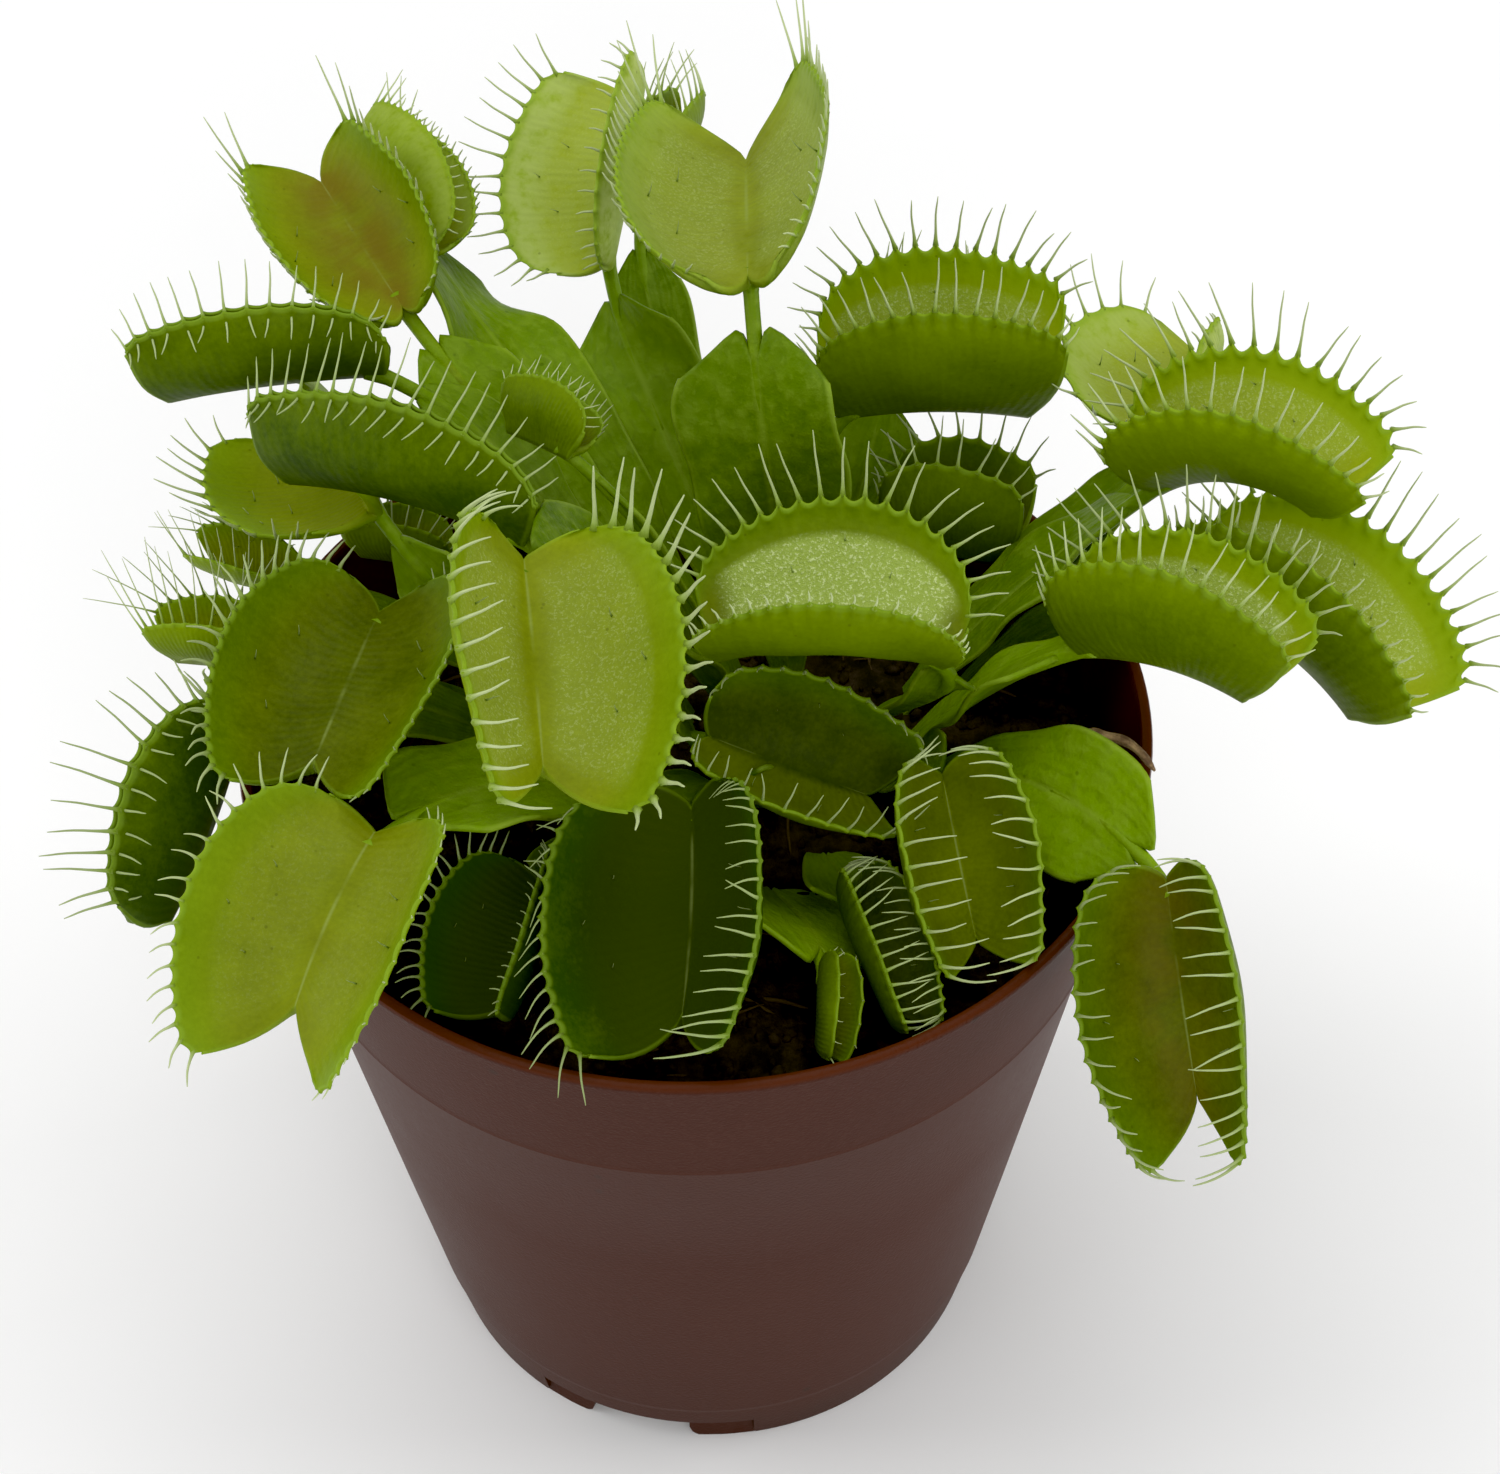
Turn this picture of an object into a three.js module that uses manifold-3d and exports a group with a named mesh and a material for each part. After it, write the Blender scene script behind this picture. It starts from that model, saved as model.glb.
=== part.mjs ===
// A potted venus flytrap, in millimetres, +Z up.
// The origin is the middle of the pot's flat base, and -Y is the front.
import * as THREE from 'three';
import { mergeVertices } from 'three/addons/utils/BufferGeometryUtils.js';
import Module from 'manifold-3d';

const wasm = await Module();
wasm.setup();

// Driving dimensions of the pot, a 9 cm nursery pot
const POT = {
  sides: 40,
  height: 86,
  rimRadius: 45,
  bandRadius: 42,
  bandHeight: 68,
  bandStep: 0.4,
  ledgeRadius: 32.2,
  ledgeHeight: 8,
  ledgeStep: 0.5,
  footRadius: 31,
  wall: 1.2,
  floorRadius: 26,
  floorThickness: 1.2,
  channelHeight: 4.2,
};

// Feet: three open sectors of the skirt, each between two shallow standing pads.
// The angles are from the front, and turn to the right.
const FEET = { count: 3, gapStart: -25.7, gapEnd: -4.8, gapHeight: 3.3, sides: 4 };

// Drain holes through the floor
const DRAIN = { count: 6, ring: 17, radius: 3.2, sides: 12 };

// Growing medium
const SOIL = {
  sides: 24,
  rings: 2,
  top: 76,
  lump: 1,
  gap: 0.4,
  stepHeight: 5.8,
  socketDepth: 6,
  socketGap: 0.55,
  socketSides: 6,
};

// The direction along which cylinders are built
const UP = new THREE.Vector3(0, 1, 0);

// The clump's centre and the sizes that all leaves share
const CROWN = { x: 10, y: 9 };
const LEAF = {
  hingeThickness: 1.5,
  marginThickness: 0.7,
  toothShare: 0.42,
  toothLength: 6.5,
  twist: 0.2,
  toothLean: 12,
  toothClear: 0.4,
  columns: 6,
  stalkRadius: 0.85,
  bladeEdge: 0.7,
  bladeRib: 1.5,
  fold: 0.16,
  rootWidth: 3,
  sink: 1.6,
};

// How wide the blade is along its length, as shares of its width, and 0 for the round stalk
const BLADE_STATIONS = [
  { at: 0, share: 0.1 },
  { at: 0.22, share: 0.3 },
  { at: 0.4, share: 0.62 },
  { at: 0.58, share: 0.9 },
  { at: 0.74, share: 1 },
  { at: 0.83, share: 0.86 },
  { at: 0.88, share: 0 },
  { at: 1, share: 0 },
];

// A dried-up old stalk that leans over the rim
const DRY_STALK = {
  root: [33, -8, 70],
  low: [32, -7, 88],
  high: [38, -5, 95],
  tip: [44.5, -9, 87.4],
  radius: 0.6,
  steps: 7,
  sides: 5,
};

// Colours and finishes of the pieces
const FINISH = {
  dry: { color: 0x6b4a2a, roughness: 0.8, metalness: 0 },
  pot: { color: 0x5d4039, roughness: 0.55, metalness: 0 },
  soil: { color: 0x1d1410, roughness: 0.95, metalness: 0 },
  leaf: { color: 0x6f9a1e, roughness: 0.5, metalness: 0 },
};

// Every leaf by the two ends of its trap's hinge, the way its mouth faces, and its sizes.
// lobe is the width from hinge to margin, gape and curl the opening and cupping in degrees,
// bend the hinge's arch, fan how far the lobes lean back at the base and forward at the tip,
// root the distance and turn of its stem in the crown, rise how steeply it leaves the soil,
// twist where along the stem the blade begins to turn with the trap.
const LEAVES = [
  // Back left, mouths up
  { base: [-29, 35, 109.5], tip: [-38, 53, 110.3], mouth: [-0.25, -0.1, 1], lobe: 12.5, gape: 96,
    curl: 50, bend: -10, fan: [35, 22], teeth: 9, blade: 12, root: [8.5, 146], rise: 52 },
  { base: [-27.6, 46.8, 107], tip: [-34.4, 61.8, 107], mouth: [0.8, 0.1, 0.5], lobe: 8, gape: 34,
    curl: 45, bend: 12, fan: [20, 36], teeth: 8, toothLength: 4, blade: 12, root: [13, 132],
    rise: 74, twist: 0.6 },
  // Back, tall and open
  { base: [-9, 50, 102], tip: [-6, 64, 112], mouth: [-0.8, -0.3, 0.5], lobe: 13, gape: 100,
    curl: 45, bend: 20, fan: [10, 11], teeth: 9, toothLength: 6, blade: 13, root: [8.5, 113],
    rise: 60, twist: 0.6 },
  { base: [-6, 62, 98], tip: [-1, 76, 97], mouth: [0, 0.3, 1], lobe: 8, gape: 36, curl: 45,
    bend: 0, fan: [22, 35], teeth: 6, blade: 8, root: [17.5, 105], rise: 50 },
  { base: [6, 26, 120], tip: [6, 47, 117], mouth: [-0.28, 0.05, 1], lobe: 15, gape: 92, curl: 43,
    bend: 0, fan: [28, 28], teeth: 9, blade: 17, root: [4, 95], rise: 74 },
  // Back right, arched with mouths up
  { base: [15, 31, 98], tip: [34.3, 30, 98.8], mouth: [0, 0.2, 1], lobe: 16.5, gape: 48, curl: 38,
    bend: 20, fan: [8, 9], teeth: 9, blade: 10, root: [8.5, 77], rise: 66 },
  { base: [49.3, 25.8, 98.5], tip: [53.3, 37.8, 97], mouth: [-0.6, 0, 0.8], lobe: 12.5, gape: 72,
    curl: 40, bend: 10, fan: [20, 25], teeth: 8, blade: 9, root: [13, 32], rise: 58 },
  { base: [45.5, 15, 102.2], tip: [60, 8.1, 105.5], mouth: [-0.1, 0.2, 1], lobe: 13, gape: 56,
    curl: 36, bend: 75, fan: [5, 14], teeth: 9, blade: 12, root: [8.5, 10], rise: 62 },
  { base: [37, -3, 98.5], tip: [51.5, -12, 101.5], mouth: [0, 0.4, 1], lobe: 13, gape: 44,
    curl: 42, bend: 35, fan: [14, 22], teeth: 9, blade: 11, root: [8.5, -20], rise: 58 },
  { base: [49, 9.8, 92.2], tip: [64, -4.5, 90.2], mouth: [0.3, 0.3, 1], lobe: 15, gape: 62,
    curl: 36, bend: 45, fan: [5, 20], teeth: 9, blade: 10.5, root: [13, 4], rise: 70 },
  // Middle
  { base: [23.8, -8.6, 103], tip: [2.4, -6.8, 102.6], mouth: [-0.05, 0.22, 1], lobe: 14.2,
    gape: 76, curl: 42, bend: 40, fan: [14, 4], teeth: 9, blade: 6, root: [4, -40], rise: 80 },
  { base: [-15, -9, 117], tip: [-13, -29, 112], mouth: [0.36, -0.19, 0.9], lobe: 16, gape: 86,
    curl: 34, bend: 5, fan: [12, 38], teeth: 10, blade: 10, root: [4, 230], rise: 72 },
  // Left
  { base: [-15.5, 1.5, 109.8], tip: [-39, 13, 107.5], mouth: [0.05, 0.2, 1], lobe: 10.8, gape: 18,
    curl: 44, bend: 25, fan: [4, 14], teeth: 10, blade: 9, root: [8.5, 180], rise: 66 },
  { base: [-31.5, 16.2, 99], tip: [-35.5, 28.2, 97.5], mouth: [-0.7, -0.2, 0.6], lobe: 12.5,
    gape: 60, curl: 38, bend: -12, fan: [20, 16], teeth: 8, toothLength: 3.2, blade: 8,
    root: [13, 182], rise: 42 },
  { base: [-30, 24, 111], tip: [-51.5, 24, 108], mouth: [-0.1, 0, 1], lobe: 10, gape: 18,
    curl: 44, bend: 15, fan: [5, 12], teeth: 9, toothLength: 5.5, blade: 10, root: [13, 168],
    rise: 74 },
  { base: [-30, 2, 99], tip: [-35, -16, 98], mouth: [-0.1, 0, 1], lobe: 13.5, gape: 118, curl: 48,
    bend: 5, fan: [32, 36], teeth: 9, blade: 8, root: [13, 197], rise: 66 },
  { base: [-44, -4, 92], tip: [-51, -20, 81], mouth: [-0.6, -0.3, 0.7], lobe: 13, gape: 18,
    curl: 42, bend: -20, fan: [14, 14], teeth: 9, blade: 8, root: [17.5, 202], rise: 48 },
  // Front left
  { base: [-29, -24, 97], tip: [-35.5, -39, 91.5], mouth: [-0.3, -0.3, 0.9], lobe: 14, gape: 118,
    curl: 40, bend: 28, fan: [12, 42], teeth: 9, blade: 10, root: [13, 216], rise: 54 },
  // Front
  { base: [0, -17, 92], tip: [-1, -36, 85], mouth: [-0.35, -0.3, 0.9], lobe: 16, gape: 88,
    curl: 34, bend: -25, fan: [14, 38], teeth: 9, blade: 9, root: [8.5, 250], rise: 52 },
  { base: [23.6, -12.2, 90.3], tip: [26.3, -25.4, 82.6], mouth: [0.05, -0.6, 0.8], lobe: 13.5,
    gape: 55, curl: 42, bend: -15, fan: [18, 32], teeth: 9, blade: 8, root: [8.5, -52],
    rise: 54 },
  // Right, hanging outside the rim
  { base: [44.1, -24.6, 89.6], tip: [46.5, -39.2, 77.1], mouth: [-0.4, -0.4, 0.8], lobe: 12.5,
    gape: 78, curl: 42, bend: 8, fan: [16, 46], teeth: 9, blade: 13.5, root: [13, -36],
    rise: 75 },
  // Lower ones in the middle and the front
  { base: [1.5, -8.9, 92.8], tip: [16.1, -12.4, 88.2], mouth: [0.25, -0.4, 0.85], lobe: 10.8,
    gape: 80, curl: 40, bend: -5, fan: [18, 28], teeth: 8, toothLength: 4, blade: 4,
    root: [8.5, 218], rise: 78 },
  { base: [-14.5, -19.7, 83.8], tip: [-18, -31.8, 80.8], mouth: [-0.5, -0.3, 0.8], lobe: 10.5,
    gape: 66, curl: 40, bend: -5, fan: [18, 25], teeth: 8, blade: 7, root: [17.5, 232],
    rise: 52 },
  { base: [15, -20.8, 82.1], tip: [18.8, -31.4, 79.1], mouth: [0.1, -0.1, 1], lobe: 8.5, gape: 30,
    curl: 40, bend: 10, fan: [14, 30], teeth: 8, toothLength: 5, blade: 7, root: [13, 278],
    rise: 50 },
  { base: [12, -29, 83.5], tip: [11.5, -35.8, 80.3], mouth: [0.5, -0.1, 0.8], lobe: 5, gape: 30,
    curl: 40, bend: 5, fan: [18, 30], teeth: 5, toothLength: 4, blade: 12, root: [17.5, 260],
    rise: 46 },
  // Young ones
  { base: [-11.5, 14, 109], tip: [-17.5, 19, 108], mouth: [0.7, 0.6, 0.6], lobe: 6, gape: 50,
    curl: 40, bend: 5, fan: [18, 25], teeth: 8, toothLength: 3, blade: 4, root: [4, 160],
    rise: 76 },
  { base: [-26, 20, 88], tip: [-34, 21, 89], mouth: [0, 0.3, 1], lobe: 5.5, gape: 50, curl: 40,
    bend: 5, fan: [18, 30], teeth: 6, toothLength: 4, blade: 5, root: [17.5, 161], rise: 45 },
  { base: [-40, 13.7, 91], tip: [-48, 17, 90.8], mouth: [-0.4, 0, 0.9], lobe: 6, gape: 50,
    curl: 40, bend: 5, fan: [14, 30], teeth: 6, toothLength: 4, blade: 5, root: [17.5, 173],
    rise: 45 },
  { base: [-43, 3.2, 91.3], tip: [-51, 5, 90.8], mouth: [-0.3, 0.3, 0.9], lobe: 6.5, gape: 50,
    curl: 40, bend: 5, fan: [18, 30], teeth: 6, toothLength: 6.5, blade: 5, root: [17.5, 186],
    rise: 46 },
  // Low ones behind
  { base: [20.8, 26.9, 83.3], tip: [32, 23.3, 84.3], mouth: [0, 0.4, 0.9], lobe: 12, gape: 42,
    curl: 40, bend: 0, fan: [14, 14], teeth: 8, toothLength: 6, blade: 8, root: [13, 52],
    rise: 56 },
  { base: [21, 43, 90], tip: [26, 55, 89], mouth: [0, 0.1, 1], lobe: 8, gape: 60, curl: 40,
    bend: 8, fan: [18, 25], teeth: 6, toothLength: 5, blade: 9, root: [17.5, 76], rise: 62 },
];

// Smooth step from 0 to 1 between two values
function ease(low, high, value) {
  const t = THREE.MathUtils.clamp((value - low) / (high - low), 0, 1);
  return t * t * (3 - 2 * t);
}

// A point on a circle about the vertical axis, by its turn in degrees from +X
function polar(radius, degrees, z) {
  const angle = THREE.MathUtils.degToRad(degrees);
  return new THREE.Vector3(radius * Math.cos(angle), radius * Math.sin(angle), z);
}

// A weighted sum of vectors, given as pairs of a weight and a vector
function sum(...pairs) {
  const total = new THREE.Vector3();
  for (const [weight, vector] of pairs) total.addScaledVector(vector, weight);
  return total;
}

// A closed geometry from points and triangles, turned outside out if it is inside out
function closedGeometry(points, faces) {
  const volume = faces.reduce(
    (total, [a, b, c]) => total + points[a].dot(points[b].clone().cross(points[c])), 0);
  const index = volume > 0 ? faces.flat() : faces.flatMap(([a, b, c]) => [a, c, b]);
  const geometry = new THREE.BufferGeometry();
  geometry.setAttribute('position',
    new THREE.Float32BufferAttribute(points.flatMap((p) => p.toArray()), 3));
  geometry.setIndex(index);
  return geometry;
}

// The solid of a closed geometry, and the geometry of a solid
function toSolid(geometry) {
  const bare = geometry.clone();
  bare.deleteAttribute('normal');
  bare.deleteAttribute('uv');
  const merged = mergeVertices(bare, 1e-4);
  return new wasm.Manifold(new wasm.Mesh({
    numProp: 3,
    vertProperties: new Float32Array(merged.attributes.position.array),
    triVerts: new Uint32Array(merged.index.array),
  }));
}

function toGeometry(solid) {
  const mesh = solid.getMesh();
  const geometry = new THREE.BufferGeometry();
  geometry.setAttribute('position', new THREE.BufferAttribute(mesh.vertProperties, 3));
  geometry.setIndex(new THREE.BufferAttribute(mesh.triVerts, 1));
  return geometry;
}

// A named mesh with its own material
function makeMesh(name, geometry, finish) {
  const shaded = geometry.toNonIndexed();
  shaded.computeVertexNormals();
  const mesh = new THREE.Mesh(shaded, new THREE.MeshStandardMaterial(finish));
  mesh.name = name;
  return mesh;
}

// The pot's outer radius at a height, on the straight taper below its band
function taperRadius(z) {
  const rise = (z - POT.ledgeHeight) / (POT.bandHeight - POT.ledgeHeight);
  return THREE.MathUtils.lerp(POT.ledgeRadius, POT.bandRadius - POT.bandStep, rise);
}

// The pot: rim band, tapered wall, recessed skirt, raised channel and flat floor
function makePot() {
  const { wall, height, bandHeight, ledgeHeight, channelHeight } = POT;
  const innerChannel = taperRadius(channelHeight + wall) - wall;
  const outline = [
    [0, 0],
    [POT.floorRadius, 0],
    [POT.floorRadius, channelHeight - wall],
    [POT.footRadius - wall, channelHeight - wall],
    [POT.footRadius - wall, 0],
    [POT.footRadius - POT.ledgeStep, 0],
    [POT.ledgeRadius - POT.ledgeStep, ledgeHeight - 0.3],
    [POT.ledgeRadius, ledgeHeight],
    [POT.bandRadius - POT.bandStep, bandHeight],
    [POT.bandRadius, bandHeight + 0.3],
    [POT.rimRadius, height - 0.5],
    [POT.rimRadius - 0.4, height],
    [POT.rimRadius - wall, height],
    [POT.bandRadius - wall - 0.4, bandHeight],
    [innerChannel, channelHeight + wall],
    [POT.floorRadius - wall, channelHeight],
    [POT.floorRadius - wall, POT.floorThickness],
    [0, POT.floorThickness],
  ];
  let pot = toSolid(closedLathe(outline, POT.sides));
  for (let i = 0; i < FEET.count; i += 1) pot = pot.subtract(footGap(i * 360 / FEET.count));
  for (let i = 0; i < DRAIN.count; i += 1) {
    const middle = polar(DRAIN.ring, (i + 0.5) * 360 / DRAIN.count, 0);
    const hole = new THREE.CylinderGeometry(DRAIN.radius, DRAIN.radius, 8, DRAIN.sides);
    hole.rotateX(Math.PI / 2).translate(middle.x, middle.y, 0);
    pot = pot.subtract(toSolid(hole));
  }
  return makeMesh('pot', toGeometry(pot), FINISH.pot);
}

// A lathe that starts and ends on the axis, its poles merged
function closedLathe(outline, sides) {
  const points = outline.map(([radius, z]) => new THREE.Vector2(radius, z));
  return new THREE.LatheGeometry(points, sides).rotateX(Math.PI / 2);
}

// The cutter for one open sector under the skirt
function footGap(turn) {
  const inner = POT.footRadius - 2.2;
  const outer = POT.footRadius + 3;
  const shape = new THREE.Shape();
  const from = THREE.MathUtils.degToRad(FEET.gapStart - 90 + turn);
  const to = THREE.MathUtils.degToRad(FEET.gapEnd - 90 + turn);
  shape.absarc(0, 0, outer, from, to, false);
  shape.absarc(0, 0, inner, to, from, true);
  const options = { depth: FEET.gapHeight + 1, bevelEnabled: false, curveSegments: FEET.sides };
  return toSolid(new THREE.ExtrudeGeometry(shape, options).translate(0, 0, -1));
}

// The uneven top of the growing medium
function soilHeight(x, y) {
  return SOIL.top + SOIL.lump * (
    0.5 * Math.sin(0.21 * x + 0.6) * Math.cos(0.17 * y - 0.4)
    + 0.3 * Math.sin(0.43 * y + 0.31 * x + 1.1)
    + 0.2 * Math.cos(0.62 * x - 0.37 * y));
}

// The growing medium: it fills the pot, with a plain socket for each leaf's stem
function makeSoil(stems) {
  const bottom = POT.floorThickness + SOIL.gap;
  const wallRadius = (z) => taperRadius(z) - POT.wall - SOIL.gap - 0.4;
  const rows = [
    { radius: 0, z: () => bottom },
    { radius: POT.floorRadius - POT.wall - SOIL.gap, z: () => bottom },
    { radius: POT.floorRadius - POT.wall - SOIL.gap, z: () => SOIL.stepHeight },
    { radius: wallRadius(SOIL.stepHeight) - 0.3, z: () => SOIL.stepHeight },
    { radius: wallRadius(POT.bandHeight) - 0.4, z: () => POT.bandHeight },
  ];
  const edge = wallRadius(POT.bandHeight) + 0.4;
  for (let i = SOIL.rings; i >= 0; i -= 1) {
    rows.push({ radius: edge * i / SOIL.rings, z: soilHeight });
  }
  const points = [];
  const faces = [];
  const starts = rows.map(({ radius, z }) => {
    const start = points.length;
    const count = radius === 0 ? 1 : SOIL.sides;
    for (let k = 0; k < count; k += 1) {
      const p = polar(radius, k * 360 / count, 0);
      p.z = z(p.x, p.y);
      points.push(p);
    }
    return { start, count };
  });
  for (let i = 0; i + 1 < rows.length; i += 1) {
    const low = starts[i];
    const high = starts[i + 1];
    for (let k = 0; k < SOIL.sides; k += 1) {
      const next = (k + 1) % SOIL.sides;
      const a = low.start + (low.count > 1 ? k : 0);
      const b = low.start + (low.count > 1 ? next : 0);
      const c = high.start + (high.count > 1 ? next : 0);
      const d = high.start + (high.count > 1 ? k : 0);
      if (low.count > 1) faces.push([a, b, c]);
      if (high.count > 1) faces.push([a, c, d]);
    }
  }
  let soil = toSolid(closedGeometry(points, faces));
  for (const stem of stems) soil = soil.subtract(toSolid(stem));
  return makeMesh('soil', toGeometry(soil), FINISH.soil);
}

// The frame of a trap: its hinge is an arc between its two ends, bulging to the mouth
function trapFrame(leaf) {
  const start = new THREE.Vector3(...leaf.base);
  const end = new THREE.Vector3(...leaf.tip);
  const chord = start.distanceTo(end);
  const along = end.clone().sub(start).normalize();
  const mouth = new THREE.Vector3(...leaf.mouth);
  mouth.addScaledVector(along, -mouth.dot(along)).normalize();
  const across = along.clone().cross(mouth);
  const bend = THREE.MathUtils.degToRad(leaf.bend || 0.5);
  const radius = chord / (2 * Math.sin(bend / 2));
  const middle = start.clone().add(end).multiplyScalar(0.5);
  return { along, mouth, across, bend, radius, middle, start, end };
}

// The place and local directions of the hinge at a share of its length
function hingeAt(frame, s) {
  const { along, mouth, middle, radius, bend } = frame;
  const angle = (s - 0.5) * bend;
  const rise = Math.cos(angle) - Math.cos(bend / 2);
  return {
    point: sum([1, middle], [radius * Math.sin(angle), along], [radius * rise, mouth]),
    along: sum([Math.cos(angle), along], [-Math.sin(angle), mouth]),
    mouth: sum([Math.sin(angle), along], [Math.cos(angle), mouth]),
  };
}

// How wide a lobe is at a share of the hinge: full in the middle, rounded at its ends
function lobeWidth(leaf, s) {
  const end = THREE.MathUtils.lerp(0.6, 0.8, s);
  return leaf.lobe * (end + (1 - end) * Math.max(Math.sin(Math.PI * s), 0) ** 0.7);
}

// A point of a lobe: s along the hinge, t from hinge to margin, side -1 or 1.
// Also the outward normal there and the direction in which the lobe goes on.
function lobeAt(leaf, frame, s, t, side) {
  const hinge = hingeAt(frame, s);
  const [back, forward] = leaf.fan;
  const tilt = THREE.MathUtils.degToRad(THREE.MathUtils.lerp(-back, forward, s));
  const curl = THREE.MathUtils.degToRad(leaf.curl);
  const opening = THREE.MathUtils.degToRad(leaf.gape / 2) + curl / 2;
  const angle = opening - curl * t;
  const width = lobeWidth(leaf, s);
  const up = width * (Math.sin(opening) - Math.sin(angle)) / curl;
  const out = width * (Math.cos(angle) - Math.cos(opening)) / curl;
  const point = sum([1, hinge.point], [Math.sin(tilt) * t * width, hinge.along],
    [Math.cos(tilt) * up, hinge.mouth], [Math.cos(tilt) * out * side, frame.across]);
  const normal = sum([side * Math.cos(angle), frame.across], [-Math.sin(angle), hinge.mouth]);
  if (t === 0) normal.copy(hinge.mouth).negate();
  return { point, normal, angle, tilt, hinge };
}

// The tip of a margin tooth, which leans in but stays on its own side of the mouth
function toothTip(leaf, frame, s, side) {
  const root = lobeAt(leaf, frame, s, 1, side);
  const angle = root.angle - THREE.MathUtils.degToRad(LEAF.toothLean);
  const long = (leaf.toothLength || LEAF.toothLength) * (0.55 + 0.45 * Math.sin(Math.PI * s));
  const tip = sum([1, root.point], [long * Math.sin(root.tilt), root.hinge.along],
    [long * Math.cos(root.tilt) * Math.cos(angle), root.hinge.mouth],
    [long * Math.cos(root.tilt) * Math.sin(angle) * side, frame.across]);
  const reach = side * tip.clone().sub(frame.middle).dot(frame.across);
  if (reach < LEAF.toothClear) tip.addScaledVector(frame.across, side * (LEAF.toothClear - reach));
  return tip;
}

// The trap: two cupped lobes on one hinge, in one closed skin, with a tooth on every other
// step of each margin
function trapGeometry(leaf) {
  const frame = trapFrame(leaf);
  const points = [];
  const faces = [];
  const columns = Array.from({ length: LEAF.columns + 1 }, (_, i) => i / LEAF.columns);
  const half = LEAF.toothShare / 2;
  const margin = [0];
  for (let j = 0; j < leaf.teeth; j += 1) {
    margin.push((j + 0.5 - half) / leaf.teeth, (j + 0.5 + half) / leaf.teeth);
  }
  margin.push(1);
  const lines = [
    { side: -1, t: 1, at: margin, thick: LEAF.marginThickness },
    { side: -1, t: 0.5, at: columns, thick: (LEAF.marginThickness + LEAF.hingeThickness) / 2 },
    { side: 1, t: 0, at: columns, thick: LEAF.hingeThickness },
    { side: 1, t: 0.5, at: columns, thick: (LEAF.marginThickness + LEAF.hingeThickness) / 2 },
    { side: 1, t: 1, at: margin, thick: LEAF.marginThickness },
  ];
  for (const line of lines) {
    for (const face of [1, -1]) {
      line[face] = line.at.map((s) => {
        const { point, normal } = lobeAt(leaf, frame, s, line.t, line.side);
        points.push(point.addScaledVector(normal, face * line.thick / 2));
        return points.length - 1;
      });
    }
  }
  for (let i = 0; i + 1 < lines.length; i += 1) stitch(faces, lines[i], lines[i + 1]);
  for (const line of [lines[0], lines[4]]) rimTeeth(leaf, frame, line, points, faces);
  for (const last of [0, 1]) closeEnd(faces, lines, last);
  return closedGeometry(points, faces);
}

// Triangles between two lines of different counts, alike on the outer and the inner face
function stitch(faces, left, right) {
  let i = 0;
  let j = 0;
  while (i + 1 < left.at.length || j + 1 < right.at.length) {
    const nextLeft = i + 1 < left.at.length ? left.at[i + 1] : Infinity;
    const nextRight = j + 1 < right.at.length ? right.at[j + 1] : Infinity;
    const stepLeft = nextLeft <= nextRight;
    for (const face of [1, -1]) {
      const third = stepLeft ? left[face][i + 1] : right[face][j + 1];
      const triangle = [left[face][i], right[face][j], third];
      faces.push(face === 1 ? triangle : triangle.reverse());
    }
    if (stepLeft) i += 1;
    else j += 1;
  }
}

// The narrow edge of a margin, with a four-sided tooth on every second step
function rimTeeth(leaf, frame, line, points, faces) {
  const turn = line.side > 0;
  for (let i = 0; i + 1 < line.at.length; i += 1) {
    const quad = [line[1][i], line[1][i + 1], line[-1][i + 1], line[-1][i]];
    if (turn) quad.reverse();
    if (i % 2 === 0) {
      faces.push([quad[0], quad[1], quad[2]], [quad[0], quad[2], quad[3]]);
    } else {
      points.push(toothTip(leaf, frame, (line.at[i] + line.at[i + 1]) / 2, line.side));
      const tip = points.length - 1;
      for (let k = 0; k < 4; k += 1) faces.push([quad[k], quad[(k + 1) % 4], tip]);
    }
  }
}

// The narrow end of the skin at the trap's base or tip
function closeEnd(faces, lines, last) {
  for (let i = 0; i + 1 < lines.length; i += 1) {
    const pick = (line, face) => line[face][last ? line.at.length - 1 : 0];
    const quad = [pick(lines[i], 1), pick(lines[i], -1), pick(lines[i + 1], -1),
      pick(lines[i + 1], 1)];
    if (last) quad.reverse();
    faces.push([quad[0], quad[1], quad[2]], [quad[0], quad[2], quad[3]]);
  }
}

// Where a leaf's stem stands in the growing medium
function rootPoint(leaf) {
  const [distance, turn] = leaf.root;
  const p = polar(distance, turn, SOIL.top - SOIL.socketDepth);
  return p.add(new THREE.Vector3(CROWN.x, CROWN.y, 0));
}

// The middle line of a leaf's blade and stalk, from the soil to the trap's hinge
function stemCurve(leaf) {
  const frame = trapFrame(leaf);
  const hinge = hingeAt(frame, 0);
  const root = rootPoint(leaf);
  const end = sum([1, hinge.point], [LEAF.sink, hinge.along]);
  const span = root.distanceTo(end);
  const rise = THREE.MathUtils.degToRad(leaf.rise);
  const out = polar(Math.cos(rise), leaf.root[1], Math.sin(rise));
  const approach = sum([0.6, hinge.along], [0.4 / span, end.clone().sub(root)]).normalize();
  const low = root.clone().addScaledVector(out, span * 0.4);
  const high = end.clone().addScaledVector(approach, -span * 0.3);
  return { curve: new THREE.CubicBezierCurve3(root, low, high, end), hinge, rise };
}

// Half the width of a leaf's stem at a share of its length
function stemReach(leaf, at) {
  const last = BLADE_STATIONS.findIndex((station) => station.at >= at);
  const high = BLADE_STATIONS[last];
  const low = BLADE_STATIONS[Math.max(last - 1, 0)];
  const mix = high.at > low.at ? (at - low.at) / (high.at - low.at) : 0;
  const share = THREE.MathUtils.lerp(low.share, high.share, mix);
  return Math.max(leaf.blade * share, LEAF.rootWidth) / 2;
}

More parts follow.
